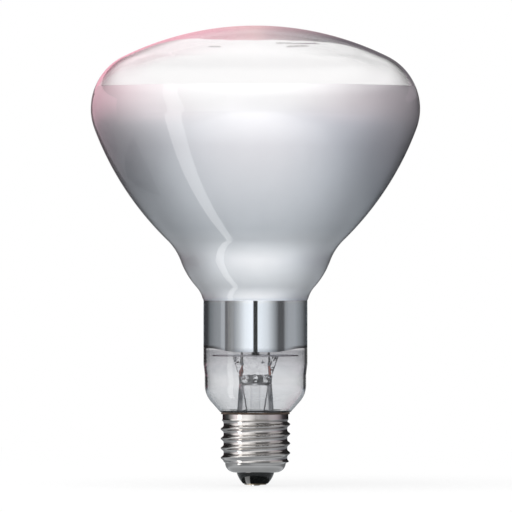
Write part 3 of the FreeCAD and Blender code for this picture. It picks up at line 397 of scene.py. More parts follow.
coil_sizes = {
    "Points": 1900,
    "Turns": 150.0,
    "Ring radius": 10.0 * MM,
    "Ring height": 90.0 * MM,
    "Gap angle": 0.5,
    "Coil radius": 0.5 * MM,
    "Wire radius": 0.1 * MM,
}


def coil_tree(finish):
    """A fine coil of wire bent into a ring that is open at the back."""
    tree, given = shape_tree("coil", coil_sizes)
    line = add_node(tree, "GeometryNodeMeshLine", {"Count": given["Points"]})
    index = tree.nodes.new("GeometryNodeInputIndex").outputs[0]
    part = reckon(tree, "DIVIDE", index, reckon(tree, "SUBTRACT", given["Points"], 1))
    sweep = reckon(tree, "SUBTRACT", math.tau, reckon(tree, "MULTIPLY", given["Gap angle"], 2))
    start = reckon(tree, "ADD", given["Gap angle"], math.pi / 2)
    turn = reckon(tree, "MULTIPLY_ADD", part, sweep, start)
    wind = reckon(tree, "MULTIPLY", reckon(tree, "MULTIPLY", part, given["Turns"]), math.tau)
    coil_radius = given["Coil radius"]
    out = reckon(tree, "MULTIPLY_ADD", reckon(tree, "COSINE", wind), coil_radius, given["Ring radius"])
    path = add_node(tree, "ShaderNodeCombineXYZ", {
        "X": reckon(tree, "MULTIPLY", out, reckon(tree, "COSINE", turn)),
        "Y": reckon(tree, "MULTIPLY", out, reckon(tree, "SINE", turn)),
        "Z": reckon(tree, "MULTIPLY_ADD", reckon(tree, "SINE", wind), coil_radius, given["Ring height"]),
    })
    wound = add_node(tree, "GeometryNodeSetPosition", {
        "Geometry": line.outputs[0], "Position": path.outputs[0]})
    curve = add_node(tree, "GeometryNodeMeshToCurve", {"Mesh": wound.outputs[0]})
    ring = add_node(tree, "GeometryNodeCurvePrimitiveCircle", {
        "Resolution": 6, "Radius": given["Wire radius"]})
    wire = add_node(tree, "GeometryNodeCurveToMesh", {
        "Curve": curve.outputs[0], "Profile Curve": ring.outputs[0], "Fill Caps": True})
    end_tree(tree, wire.outputs[0], finish)
    return tree


# Finishes

glass_index = 1.5
grain_low = 0.3
grain_high = 0.7


def finish_tree(name):
    """A new material, its nodes and its shader."""
    material = bpy.data.materials.new(name)
    material.use_nodes = True
    tree = material.node_tree
    shader = next(node for node in tree.nodes if node.type == "BSDF_PRINCIPLED")
    return material, tree, shader


def place_on(tree):
    """Where a point lies, in the piece's own space."""
    return add_node(tree, "ShaderNodeTexCoord").outputs["Object"]


def height_ramp(tree, height, low, high, stops):
    """A colour by height on a piece, in millimetres."""
    stops = [(place * MM, shade) for place, shade in stops]
    return spread_ramp(tree, height, low * MM, high * MM, stops)


def grain(tree, where, scale, detail=3.0):
    noise = add_node(tree, "ShaderNodeTexNoise", {"Vector": where, "Scale": scale, "Detail": detail})
    return noise.outputs[0]


def between(tree, value, low, high):
    """A grain value spread between two levels."""
    node = add_node(tree, "ShaderNodeMapRange", {
        "Value": value, "From Min": grain_low, "From Max": grain_high, "To Min": low, "To Max": high})
    return node.outputs[0]


def colour_between(tree, value, first, second):
    return blend(tree, value, (*first, 1), (*second, 1))


def bumped(tree, shader, height, strength, distance):
    bump = add_node(tree, "ShaderNodeBump", {"Strength": strength, "Distance": distance, "Height": height})
    tree.links.new(bump.outputs[0], shader.inputs["Normal"])


def make_clear(shader):
    shader.inputs["Roughness"].default_value = 0.0
    shader.inputs["IOR"].default_value = glass_index
    shader.inputs["Transmission Weight"].default_value = 1.0


def blown_glass_finish():
    """Clear glass, greyer below the film: the grey is painted shade, darkest just under the film's edge."""
    material, tree, shader = finish_tree("clear_glass")
    height = add_node(tree, "ShaderNodeSeparateXYZ", {0: place_on(tree)}).outputs["Z"]
    # Painted shade: the glass is made greyer below the film, for the grey its lower neck shows.
    painted_shade_tint = height_ramp(tree, height, 30, 80, (
        (30, (0.79, 0.8, 0.81)),
        (40, (0.845, 0.852, 0.865)),
        (46, (0.73, 0.735, 0.75)),
        (51, (0.61, 0.612, 0.63)),
        (52.5, (0.985, 0.98, 0.98)),
    ))
    tree.links.new(painted_shade_tint, shader.inputs["Base Color"])
    make_clear(shader)
    return material


def stem_glass_finish():
    """Clear glass, creased where it was pressed shut."""
    material, tree, shader = finish_tree("stem_glass")
    where = place_on(tree)
    tree.links.new(
        colour_between(tree, grain(tree, where, 300.0), (0.95, 0.95, 0.955), (1.0, 1.0, 1.0)),
        shader.inputs["Base Color"])
    make_clear(shader)
    height = add_node(tree, "ShaderNodeSeparateXYZ", {0: where}).outputs["Z"]
    pressed = eased(tree, height, 38 * MM, 41 * MM)
    creases = reckon(tree, "MULTIPLY", grain(tree, where, 270.0, 1.8), pressed)
    bumped(tree, shader, creases, 1.0, 2 * MM)
    return material


def mirror_film_finish():
    """Satin silver in the bowl and bright silver in the neck, darker along the film's lower edge. Its colour
    by height is painted reflection and shade: bluish in the neck, darker on the flank.
    """
    neck_roughness = 0.04
    lower_edge_silver = (0.3, 0.3, 0.315, 1)
    material, tree, shader = finish_tree("mirror_film")
    where = place_on(tree)
    x, y, height = add_node(tree, "ShaderNodeSeparateXYZ", {0: where}).outputs
    waver = waver_at(tree, reckon(tree, "ARCTAN2", y, x))
    edge = reckon(tree, "MULTIPLY_ADD", waver, film_waver_depth, film_bottom * MM)
    # Darker along the film's lower edge, most where the edge dips.
    lower_edge_dark = eased(tree, reckon(tree, "SUBTRACT", height, edge), 1.5 * MM, 0.4 * MM)
    lower_edge_dark = reckon(tree, "MULTIPLY", lower_edge_dark, eased(tree, waver, -0.5, 0.7))
    bowl = eased(tree, height, (bright_neck_top - 0.1) * MM, (bright_neck_top + 0.1) * MM)
    satin = between(tree, grain(tree, where, 900.0), 0.33, 0.39)
    duller = reckon(tree, "SUBTRACT", satin, neck_roughness)
    rough = reckon(tree, "MULTIPLY_ADD", bowl, duller, neck_roughness)
    tree.links.new(rough, shader.inputs["Roughness"])
    # Painted reflection and shade: bluish silver in the neck, darker silver on the flank.
    silver = height_ramp(tree, height, 0, 160, (
        (68.8, (0.815, 0.88, 0.945)),
        (72, (0.96, 0.965, 0.965)),
        (88, (0.96, 0.965, 0.965)),
        (97.6, (0.738, 0.756, 0.772)),
        (128, (0.76, 0.759, 0.772)),
        (139.2, (0.93, 0.93, 0.935)),
    ))
    clouded_painted_silver = times(tree, silver, between(tree, grain(tree, where, 60.0), 0.97, 1.0))
    tree.links.new(blend(tree, lower_edge_dark, clouded_painted_silver, lower_edge_silver), shader.inputs["Base Color"])
    shader.inputs["Metallic"].default_value = 1.0
    return material


def plated_finish(name, first, second, low, high):
    """Metal with faint patches in its colour and gloss."""
    material, tree, shader = finish_tree(name)
    where = place_on(tree)
    colour = colour_between(tree, grain(tree, where, 220.0), first, second)
    tree.links.new(colour, shader.inputs["Base Color"])
    tree.links.new(between(tree, grain(tree, where, 700.0), low, high), shader.inputs["Roughness"])
    shader.inputs["Metallic"].default_value = 1.0
    return material


def black_glass_finish():
    """Nearly black glass, faintly clouded."""
    material, tree, shader = finish_tree("black_glass")
    where = place_on(tree)
    tree.links.new(
        colour_between(tree, grain(tree, where, 300.0), (0.003, 0.0035, 0.0035), (0.008, 0.009, 0.0085)),
        shader.inputs["Base Color"])
    tree.links.new(between(tree, grain(tree, where, 500.0), 0.06, 0.14), shader.inputs["Roughness"])
    shader.inputs["IOR"].default_value = glass_index
    return material


def cement_finish():
    """Rough brown cement with flecks."""
    material, tree, shader = finish_tree("cement")
    where = place_on(tree)
    fleck = grain(tree, where, 450.0, 6.0)
    tree.links.new(
        colour_between(tree, between(tree, fleck, 0.0, 1.0), (0.045, 0.04, 0.034), (0.11, 0.07, 0.05)),
        shader.inputs["Base Color"])
    shader.inputs["Roughness"].default_value = 0.85
    bumped(tree, shader, fleck, 0.5, 0.2 * MM)
    return material


clear_glass = blown_glass_finish()
stem_glass = stem_glass_finish()
mirror_film = mirror_film_finish()
cap_metal = plated_finish("cap_metal", (0.505, 0.487, 0.47), (0.587, 0.567, 0.549), 0.08, 0.13)
black_glass = black_glass_finish()
cement = cement_finish()
# The contact's brass is made dark: painted shade, for the dark the contact shows at the lamp's foot.
contact_metal = plated_finish("contact_metal", (0.3, 0.25, 0.18), (0.4, 0.33, 0.24), 0.25, 0.4)
solder = plated_finish("solder", (0.5, 0.5, 0.51), (0.62, 0.62, 0.63), 0.3, 0.5)
lead_metal = plated_finish("lead_metal", (0.4, 0.39, 0.38), (0.5, 0.49, 0.48), 0.25, 0.4)
seal_copper = plated_finish("seal_copper", (0.5, 0.13, 0.08), (0.62, 0.2, 0.12), 0.35, 0.5)
shield_metal = plated_finish("shield_metal", (0.5, 0.48, 0.5), (0.58, 0.56, 0.58), 0.3, 0.42)
tungsten = plated_finish("tungsten", (0.2, 0.2, 0.21), (0.28, 0.28, 0.29), 0.35, 0.5)


# Pieces

def stands_for(piece, slot, *nodes):
    """Puts a piece on the lamp's one body, in place of CAD nodes."""
    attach(piece, "root")
    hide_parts(*nodes)
    return piece


def finished_copy(node, slot, finish, swell=0.0):
    """A CAD piece with its triangles joined and smoothed, swollen where it has to press on its neighbours."""
    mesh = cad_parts[node].data.copy()
    mesh.name = node + "_finished"
    piece = cleaned(placed(mesh.name, mesh), sharp=32.0, merge=2e-6, outward=False)
    if swell:
        for vertex, normal in zip(mesh.vertices, [vertex.normal.copy() for vertex in mesh.vertices]):
            vertex.co += normal * swell
    mesh.materials.clear()
    mesh.materials.append(finish)
    return stands_for(piece, slot, node)


# Glass. Its outside stays a hair within the solid's.
glass_hair = 0.012
bulb_segments = 176
outside = glass_wall_outline(glass_hair)
inside = glass_wall_outline(glass_wall)
glass_outline = joined(outside, inside[::-1])
envelope = turned("glass_envelope", glass_outline, clear_glass, sharp=30.0, Segments=bulb_segments)
stands_for(envelope, "clear_glass", "glass_bowl", "glass_throat", "glass_neck")

# The film's back lies a hair inside the glass, so that no gap shows between them.
film_back = 0.94
film_face = 1.12
film_waver_reach = 6.0


def film_side(inset):
    """One face of the film, from its edge in the rim down to its edge in the neck."""
    first = math.degrees(math.asin((film_top - rim_centre[1]) / (rim_radius - inset)))
    return side_wall(inset, first, film_bottom)


back = film_side(film_back)
face = film_side(film_face)
film_outline = joined(back, face[::-1]) + back[:1]
film_waver = [max(0.0, 1 - (height - film_bottom) / film_waver_reach) ** 2 for radius, height in film_outline]
film = turned(
    "silver_film", film_outline, mirror_film, sharp=30.0, waver=film_waver, Segments=bulb_segments,
    Waver=film_waver_depth)
stands_for(film, "mirror_film", "mirror_coating")

# Cap shell, rolled from sheet: its inside follows its outside.
sheet = 0.35
shell_rim = 12.5
shell_rim_top = 27.1
shell_rim_foot = 24.9
shell_step = 0.3
thread_root = 12.1
thread_depth = 1.1
thread_top = 24.4
thread_foot = 9.0
thread_start = 25.2
thread_run_in = 1.3
thread_end = 8.3
thread_run_out = 1.2
shell_waist = 11.5
shell_bend = 3.6
shell_bend_top = 8.6
shell_hole = 7.1
unthreaded_radius = 11.0


def shell_wall(inset, slope_step, thread_step, bend_step):
    """The cap's wall from its rim down to the hole for the insulator."""
    rim = shell_rim - inset
    root = thread_root - inset
    bend_centre = (shell_waist - shell_bend, shell_bend_top)
    foot = shell_bend_top - shell_bend + inset
    return joined(
        straight((rim, shell_rim_top), (rim, shell_rim_foot), shell_step),
        straight((rim, shell_rim_foot), (root, thread_top), slope_step),
        straight((root, thread_top), (root, thread_foot), thread_step),
        straight((root, thread_foot), (shell_waist - inset, shell_bend_top), slope_step),
        arc(bend_centre, shell_bend - inset, 0, -90, bend_step),
        straight((bend_centre[0], foot), (shell_hole, foot), shell_step),
    )


def threaded(height):
    """How much of the thread's depth shows at a height."""
    run_in = min(1.0, max(0.0, (thread_start - height) / thread_run_in))
    run_out = min(1.0, max(0.0, (height - thread_end) / thread_run_out))
    return min(run_in, run_out)


shell_outside = shell_wall(0.0, slope_step=0.15, thread_step=0.14, bend_step=0.3)
shell_inside = shell_wall(sheet, slope_step=0.3, thread_step=0.3, bend_step=0.4)[::-1]
shell_outline = joined(
    shell_outside,
    straight(shell_outside[-1], shell_inside[0], shell_step),
    shell_inside,
    straight(shell_inside[-1], shell_outside[0], 0.1),
)
shell_thread = [threaded(height) if radius > unthreaded_radius else 0.0 for radius, height in shell_outline]
shell = turned(
    "screw_shell", shell_outline, cap_metal, sharp=40.0, thread=shell_thread, Segments=150,
    Thread_depth=thread_depth * MM)
stands_for(shell, "cap_metal", "cap_shell")

coil_seed = bpy.data.meshes.new("coil_seed")
coil = cleaned(grown("filament_coil", coil_tree(tungsten), coil_sizes, coil_seed), sharp=60.0)
stands_for(coil, "tungsten", "filament")

# Stem: a tube that widens downwards, pinched into a flat press at the top
stem_radius = 6.25
stem_slope = 0.07
stem_foot = 24.0
stem_shoulder = 38.5
bore_end_depth = 0.25
bore_end_radius = 4.4
bore_clearance = 0.3
tube_seat = 2.5
extra_wall = 0.9
extra_wall_run = 3.0
press_start = 42.0
press_half_depth = 2.3
hollow_wall = 0.9
hollow_middle = 3.6
hollow_half_width = 1.85
hollow_narrowing = 0.45
hollow_roundness = 0.35
hollow_end_share = 0.75
hollow_points = 32
hollow_heights = [38.82, 38.9, 39.2, 39.6, 40.1, 40.6, 41.0, 41.4, 41.7, 41.85]


def thickened(piece):
    """The stem with its tube's inner wall moved in, so that the glass looks as thick as in the lamp."""
    for vertex in piece.data.vertices:
        height = vertex.co.z / MM
        radius = math.hypot(vertex.co.x, vertex.co.y) / MM
        outer_radius = stem_radius + stem_slope * (stem_shoulder - height)
        on_bore = stem_foot < height < stem_shoulder and radius < outer_radius - bore_clearance
        on_end = stem_shoulder < height < stem_shoulder + bore_end_depth and radius < bore_end_radius
        if radius > tube_seat and (on_bore or on_end):
            share = min(1.0, (height - stem_foot) / extra_wall_run)
            narrowing = 1 - extra_wall * share / radius
            vertex.co.x *= narrowing
            vertex.co.y *= narrowing
    return piece


def hollow_depth(across, pinched):
    """Half the depth of the hollow: the pinched tube's own, less its wall."""
    round_depth = math.sqrt(stem_radius**2 - across**2)
    return round_depth + (press_half_depth - round_depth) * pinched - hollow_wall


def hollow_ring(work, side, height):
    """One level of a hollow, narrower towards the press and at both ends."""
    ends = hollow_end_share if height in (hollow_heights[0], hollow_heights[-1]) else 1.0
    pinched = (height - stem_shoulder) / (press_start - stem_shoulder)
    half_width = hollow_half_width * ends * (1 - hollow_narrowing * pinched**3)
    ring = []
    for n in range(hollow_points):
        turn = math.tau * n / hollow_points
        across = hollow_middle + half_width * math.cos(turn)
        bulge = math.copysign(abs(math.sin(turn)) ** hollow_roundness, math.sin(turn))
        depth = hollow_depth(across, pinched) * ends * bulge
        ring.append(work.verts.new((side * across * MM, side * depth * MM, height * MM)))
    return ring


def hollowed(piece):
    """The stem with the two hollows that its tube keeps under the press, beside the exhaust tube."""
    work = bmesh.new()
    work.from_mesh(piece.data)
    for side in (-1, 1):
        rings = [hollow_ring(work, side, height) for height in hollow_heights]
        for lower, upper in zip(rings, rings[1:]):
            for n in range(hollow_points):
                work.faces.new((lower[n - 1], upper[n - 1], upper[n], lower[n])).smooth = True
        work.faces.new(rings[0])
        work.faces.new(rings[-1][::-1])
    work.to_mesh(piece.data)
    work.free()


# Exhaust tube, closed by a rounded tip
tube_radius = 1.8
tube_top = 40.1
tip_start = 16.0
tip_round = 1.2
tube_outline = joined(
    straight((0.0, tube_top), (tube_radius, tube_top), 2),
    straight((tube_radius, tube_top), (tube_radius, tip_start), 4),
    arc((tube_radius - tip_round, tip_start), tip_round, 0, -90, 0.4),
    [(0.0, tip_start - tip_round)],
)

# The other pieces. Copies that touch glass swell by a hair, so that no gap shows round them.
hair = 0.02 * MM
finished_copy("cap_cement", "cement", cement, hair)
finished_copy("cap_insulator", "black_glass", black_glass)
finished_copy("contact_plate", "contact_metal", contact_metal)
finished_copy("centre_solder", "solder", solder)
finished_copy("side_solder", "solder", solder)
hollowed(thickened(finished_copy("stem", "clear_glass", stem_glass)))
exhaust = turned("exhaust_tube_finished", tube_outline, stem_glass, sharp=50.0, Segments=32)
stands_for(exhaust, "clear_glass", "exhaust_tube")
finished_copy("arbor_rod", "clear_glass", stem_glass, hair)
finished_copy("deflector_disc", "shield_metal", shield_metal, hair)
for side in ("left", "right"):
    finished_copy("lead_wire_" + side, "lead_metal", lead_metal, hair)
    finished_copy("seal_wire_" + side, "seal_copper", seal_copper, 2 * hair)
    finished_copy("lead_clamp_" + side, "lead_metal", lead_metal)
finished_copy("outer_lead_centre", "lead_metal", lead_metal, hair)
finished_copy("outer_lead_side", "lead_metal", lead_metal, hair)
for number in range(1, 6):
    finished_copy("filament_support_%d" % number, "tungsten", tungsten, hair)


# Studio

white = (1, 1, 1, 1)
strip_turn = math.radians(57.6)
strip_half = math.radians(6.3)
strip_fade_out = 0.02
strip_fade_in = 0.01
strip_light = 3.2


def grey(level):
    return (level, level, level, 1)


def turn_round(tree, x, y):
    """The angle round the axis, 0 at the front and growing to the right."""
    return reckon(tree, "ARCTAN2", x, reckon(tree, "MULTIPLY", y, -1.0))


def round_ramp(tree, turn, stops):
    """Brightness, or a colour, round the axis, by degrees from the front."""
    stops = [(math.radians(degrees), shade) for degrees, shade in stops]
    return spread_ramp(tree, turn, -math.pi, math.pi, stops)


def mirrored_share(tree, path):
    """1 for a ray that a surface has mirrored."""
    return reckon(tree, "MINIMUM", path["Glossy Depth"], 1.0)


def outer_share(tree, path):
    """1 for a ray that has gone through no glass, so that it shows the gloss of the lamp's outside."""
    return reckon(tree, "LESS_THAN", path["Transmission Depth"], 0.5)


def stem_share(tree, path):
    """1 for a ray that has gone through the bulb and then through the stem's glass."""
    return reckon(tree, "GREATER_THAN", path["Transmission Depth"], 4.5)


def strip_share(tree, turn, middle):
    """1 within the strip of light, which stands at the left."""
    aside = reckon(tree, "ABSOLUTE", reckon(tree, "ADD", turn, middle))
    return eased(tree, aside, strip_half + strip_fade_out, strip_half - strip_fade_in)


# What reflections see round the lamp, by degrees from the front: in the silver on a level, low and high.
# The last one is a factor on low and high, for the outside of the glass and the cap.
level_shades = (
    (-180, 1.0), (-172, 1.0), (-166, 0.05), (-138, 0.06), (-122, 0.22), (-102, 0.29), (-87, 0.3), (-85, 0.42),
    (-75, 0.42), (-73, 0.09), (-62, 0.1), (-54, 0.2), (-39, 0.5), (-23, 0.95), (-10, 1.1), (-5.5, 1.1),
    (-4.5, 0.02), (4.5, 0.02), (5.5, 1.0), (14, 0.96), (28, 0.78), (44, 0.36), (55, 0.07), (67, 0.07),
    (73, 0.3), (83, 0.39), (102, 0.4), (127, 0.26), (145, 0.12), (166, 0.08), (172, 1.0), (180, 1.0),
)
low_shades = (
    (-180, 1.0), (-172, 0.8), (-165, (0.3, 0.14, 0.19)), (-145, (0.59, 0.34, 0.42)),
    (-122, (1.06, 0.77, 0.87)), (-95, (1.1, 0.94, 1.01)), (-78, (1.08, 0.98, 1.03)),
    (-66, (1.02, 0.95, 0.98)), (-42, 1.2), (-20, 1.34), (20, 1.34), (42, (1.2, 1.17, 1.2)),
    (66, (0.93, 0.86, 0.9)), (80, (0.72, 0.64, 0.69)), (94, (0.56, 0.49, 0.53)), (110, (0.45, 0.38, 0.43)),
    (130, (0.45, 0.39, 0.44)), (150, (0.22, 0.2, 0.22)), (168, 0.08), (174, 0.8), (180, 1.0),
)
high_shades = (
    (-180, 1.1), (-165, (0.85, 0.42, 0.52)), (-140, (0.95, 0.52, 0.62)), (-120, (1.2, 0.87, 0.94)),
    (-90, (1.2, 1.05, 1.1)), (-60, 1.15), (-30, 1.22), (30, 1.22), (60, (1.0, 0.95, 0.98)),
    (90, (0.6, 0.54, 0.58)), (110, (0.44, 0.385, 0.425)), (130, (0.42, 0.37, 0.41)), (150, 0.3),
    (168, 0.25), (180, 1.1),
)
outside_shades = (
    (-180, 1.0), (-176, 0.8), (-170, 0.05), (-112, (0.05, 0.08, 0.07)), (-104, (0.22, 0.27, 0.25)),
    (-90, (0.6, 0.68, 0.64)), (-72, 1.45), (-30, 1.4), (-4, 0.55), (1, 0.38), (43, 0.38), (50, 0.55),
    (80, 0.8), (98, 0.6), (110, 0.1), (170, 0.04), (176, 0.8), (180, 1.0),
)
ceiling_light = 1.8
ceiling_drop = 0.3
stem_surroundings = (0.2, 0.205, 0.21, 1)
strip_lean = math.radians(14.0)
strip_curve = math.radians(16.0)
diffuse_light = 0.75


def studio_world():
    """White to the eye and through glass. Reflections see panels and dark places round the lamp, a ceiling,
    and a strip of light at the left that leans back."""
    world = bpy.data.worlds.new("studio")
    bpy.context.scene.world = world
    world.use_nodes = True
    tree = world.node_tree
    tree.nodes.clear()
    way = add_node(tree, "ShaderNodeTexCoord").outputs["Generated"]
    x, y, z = add_node(tree, "ShaderNodeSeparateXYZ", {0: way}).outputs
    turn = turn_round(tree, x, y)
    path = add_node(tree, "ShaderNodeLightPath").outputs
    outer = outer_share(tree, path)

    low = round_ramp(tree, turn, low_shades)
    high = round_ramp(tree, turn, high_shades)
    room = blend(tree, eased(tree, z, 0.04, 0.2), low, high)
    room = times(tree, room, blend(tree, outer, white, round_ramp(tree, turn, outside_shades)))

    # The outside sees the ceiling start lower.
    ceiling = eased(tree, reckon(tree, "MULTIPLY_ADD", outer, ceiling_drop, z), 0.56, 0.8)
    room = blend(tree, ceiling, room, grey(ceiling_light))

    rise = reckon(tree, "MAXIMUM", z, 0.0)
    lean = reckon(tree, "MULTIPLY_ADD", rise, strip_curve, strip_lean)
    middle = reckon(tree, "MULTIPLY_ADD", rise, lean, strip_turn)
    strip = reckon(tree, "MULTIPLY", strip_share(tree, turn, middle), outer)
    strip = reckon(tree, "MULTIPLY", strip, eased(tree, z, 0.65, 0.55))
    room = blend(tree, strip, room, grey(strip_light))

    # Level rays come from the neck's bright band, and those that crossed the stem see a grey room.
    level = eased(tree, reckon(tree, "ABSOLUTE", z), 0.06, 0.025)
    level = reckon(tree, "MULTIPLY", level, reckon(tree, "SUBTRACT", 1.0, outer))
    room = blend(tree, level, room, round_ramp(tree, turn, level_shades))
    room = blend(tree, stem_share(tree, path), room, stem_surroundings)
    seen = blend(tree, mirrored_share(tree, path), white, room)
    strength = reckon(tree, "MULTIPLY_ADD", path["Is Diffuse Ray"], diffuse_light - 1.0, 1.0)
    light = add_node(tree, "ShaderNodeBackground", {"Color": seen, "Strength": strength})
    out = tree.nodes.new("ShaderNodeOutputWorld")
    tree.links.new(light.outputs[0], out.inputs["Surface"])


def mixed(tree, share, first, second):
    """One shader turning into another."""
    return add_node(tree, "ShaderNodeMixShader", {0: share, 1: first.outputs[0], 2: second.outputs[0]})


def show(tree, surface):
    """Makes a shader the surface of its material."""
    out = next(node for node in tree.nodes if node.type == "OUTPUT_MATERIAL")
    tree.links.new(surface.outputs[0], out.inputs["Surface"])


def circle(radius, height, points):
    """Points round the axis, 64 to a turn."""
    turns = [math.tau * n / 64 for n in range(points)]
    return [(radius * math.cos(turn), radius * math.sin(turn), height) for turn in turns]


def flat_stage(name, corners, material):
    """One flat face of the studio, which isn't part of the lamp."""
    mesh = bpy.data.meshes.new(name)
    mesh.from_pydata(corners, [], [tuple(range(len(corners)))])
    mesh.materials.append(material)
    placed(name, mesh)


# The floor in reflections, by metres: from behind the lamp to the front, from left to right, and out from the
# axis. The last one is a factor round the lamp, by degrees, for its outside.
floor_front = (
    (-0.9, 0.02), (-0.5, 0.06), (-0.43, 0.13), (-0.35, 0.28), (-0.2, 0.45), (-0.1, 0.5), (-0.037, 0.55),
    (-0.012, 0.59), (0.012, 0.65), (0.037, 0.77), (0.065, 0.9), (0.1, (1.03, 1.01, 1.0)),
    (0.145, (1.22, 1.17, 1.15)), (0.215, (1.36, 1.29, 1.26)), (0.35, (1.45, 1.37, 1.34)),
    (0.5, (1.45, 1.37, 1.34)),
)
floor_across = (
    (-0.48, (0.84, 0.81, 0.86)), (-0.3, (0.66, 0.69, 0.74)), (-0.205, (0.58, 0.63, 0.68)),
    (-0.165, (0.88, 0.95, 1.01)), (-0.13, (0.96, 1.02, 1.08)), (-0.06, (0.96, 1.01, 1.06)),
    (0.06, (0.96, 1.01, 1.06)), (0.13, (0.92, 0.98, 1.05)), (0.165, (0.79, 0.86, 0.93)),
    (0.205, (0.47, 0.53, 0.6)), (0.285, (0.47, 0.5, 0.57)), (0.42, (0.58, 0.58, 0.65)),
)
floor_under = ((0.0, 0.7), (0.01, 0.7), (0.015, 0.75), (0.021, 1.0))
floor_round = (
    (-180, 0.3), (-120, 0.6), (-96, 0.7), (-76, 0.95), (-58, 0.9), (-50, 0.45), (-20, 0.5), (-4, 0.65),
    (1, 0.65), (43, 0.6), (50, 0.7), (92, 0.6), (120, 0.4), (180, 0.3),
)
floor_under_insulator = 0.12
foot_turn = math.radians(44.0)
glow_by_lamp = 0.82


def floor_in_mirrors(tree, x, y, away, path):
    """Bright in front of the lamp, dim behind, beside and below it, with the strip of light from the left."""
    outer = outer_share(tree, path)
    # What lies this close to the floor is mostly the insulator.
    low = eased(tree, path["Ray Length"], 6.4 * MM, 5.2 * MM)
    front = spread_ramp(tree, reckon(tree, "MULTIPLY", y, -1.0), -1.0, 0.5, floor_front)
    across = spread_ramp(tree, x, -0.5, 0.5, floor_across)
    under = spread_ramp(tree, away, 0.0, 0.05, floor_under)
    under = blend(tree, low, under, grey(floor_under_insulator))
    lit = times(tree, times(tree, front, across), under)

    turn = turn_round(tree, x, y)
    close = reckon(tree, "MULTIPLY", eased(tree, away, 0.22, 0.13), eased(tree, away, 0.022, 0.032))
    close = reckon(tree, "MULTIPLY", close, outer)
    lit = times(tree, lit, blend(tree, close, white, round_ramp(tree, turn, floor_round)))

    # The strip starts at some distance from the cap. The insulator sees its own short one.
    strip = strip_share(tree, turn, strip_turn)
    strip = reckon(tree, "MULTIPLY", strip, eased(tree, away, 0.038, 0.046))
    beside = reckon(tree, "ABSOLUTE", reckon(tree, "ADD", turn, foot_turn))
    foot = reckon(tree, "MULTIPLY", eased(tree, beside, 0.29, 0.23), low)
    strip = reckon(tree, "MULTIPLY", reckon(tree, "MAXIMUM", strip, foot), outer)
    return blend(tree, strip, lit, grey(strip_light))


def pale_floor():
    """White to the eye and through glass, with the lamp's shadow. Far out, reflections see the room."""
    material, tree, shader = finish_tree("floor")
    shader.inputs["Base Color"].default_value = grey(0.92)
    shader.inputs["Roughness"].default_value = 0.9
    shader.inputs["Specular IOR Level"].default_value = 0.0
    x, y, z = add_node(tree, "ShaderNodeSeparateXYZ", {0: place_on(tree)}).outputs
    squares = reckon(tree, "ADD", reckon(tree, "POWER", x, 2.0), reckon(tree, "POWER", y, 2.0))
    away = reckon(tree, "SQRT", squares)
    path = add_node(tree, "ShaderNodeLightPath").outputs

    seen = reckon(tree, "MAXIMUM", path["Is Camera Ray"], path["Is Transmission Ray"])
    whiter = reckon(tree, "MULTIPLY_ADD", eased(tree, away, 0.1, 0.5), 1 - glow_by_lamp, glow_by_lamp)
    glow = add_node(tree, "ShaderNodeEmission")
    pale = mixed(tree, reckon(tree, "MULTIPLY", seen, whiter), shader, glow)

    ground = add_node(tree, "ShaderNodeEmission", {"Color": floor_in_mirrors(tree, x, y, away, path)})
    clear = add_node(tree, "ShaderNodeBsdfTransparent")
    ground = mixed(tree, eased(tree, away, 0.6, 1.0), ground, clear)
    show(tree, mixed(tree, mirrored_share(tree, path), pale, ground))
    flat_stage("floor", circle(4.0, -0.2 * MM, 64), material)


def mirrored_card(name, corners, shade, from_below=False):
    """A card that only reflections see, apart from those behind the stem's glass. One that is seen from below
    shows on nothing but the outside of the glass and the cap."""
    material, tree, shader = finish_tree(name)
    tree.nodes.remove(shader)
    colour = shade(tree) if callable(shade) else (*shade, 1)
    glow = add_node(tree, "ShaderNodeEmission", {"Color": colour})
    clear = add_node(tree, "ShaderNodeBsdfTransparent")
    path = add_node(tree, "ShaderNodeLightPath").outputs
    outside_stem = reckon(tree, "SUBTRACT", 1.0, stem_share(tree, path))
    share = reckon(tree, "MULTIPLY", mirrored_share(tree, path), outside_stem)
    if from_below:
        below = add_node(tree, "ShaderNodeNewGeometry").outputs["Backfacing"]
        share = reckon(tree, "MULTIPLY", share, reckon(tree, "MULTIPLY", outer_share(tree, path), below))
    show(tree, mixed(tree, share, clear, glow))
    flat_stage(name, corners, material)


def rosy_shade(tree):
    """Rosy at the left, dark at the right, deeper towards the top."""
    spot = add_node(tree, "ShaderNodeSeparateXYZ", {0: place_on(tree)})
    shade = spread_ramp(tree, spot.outputs["X"], -0.3, 0.3, (
        (-0.3, (0.8, 0.5, 0.58)), (-0.06, (1.05, 0.52, 0.63)), (-0.025, (1.0, 0.58, 0.66)),
        (0.0, (0.94, 0.63, 0.66)), (0.012, (0.66, 0.46, 0.5)), (0.03, (0.42, 0.32, 0.35)),
        (0.05, (0.18, 0.16, 0.18)), (0.1, (0.17, 0.155, 0.17)), (0.28, (0.42, 0.35, 0.4)),
    ))
    deep = eased(tree, spot.outputs["Z"], 0.27, 0.34)
    return times(tree, shade, blend(tree, deep, white, (1.05, 0.8, 0.84, 1)))


def side_shade(tree):
    """Dark at the bottom, rosy at the top."""
    height = add_node(tree, "ShaderNodeSeparateXYZ", {0: place_on(tree)}).outputs["Z"]
    return spread_ramp(tree, height, 0.0, 0.2, (
        (0.09, (0.2, 0.2, 0.22)), (0.12, (0.3, 0.25, 0.28)), (0.136, (0.62, 0.4, 0.47)),
        (0.156, (0.9, 0.53, 0.62)),
    ))


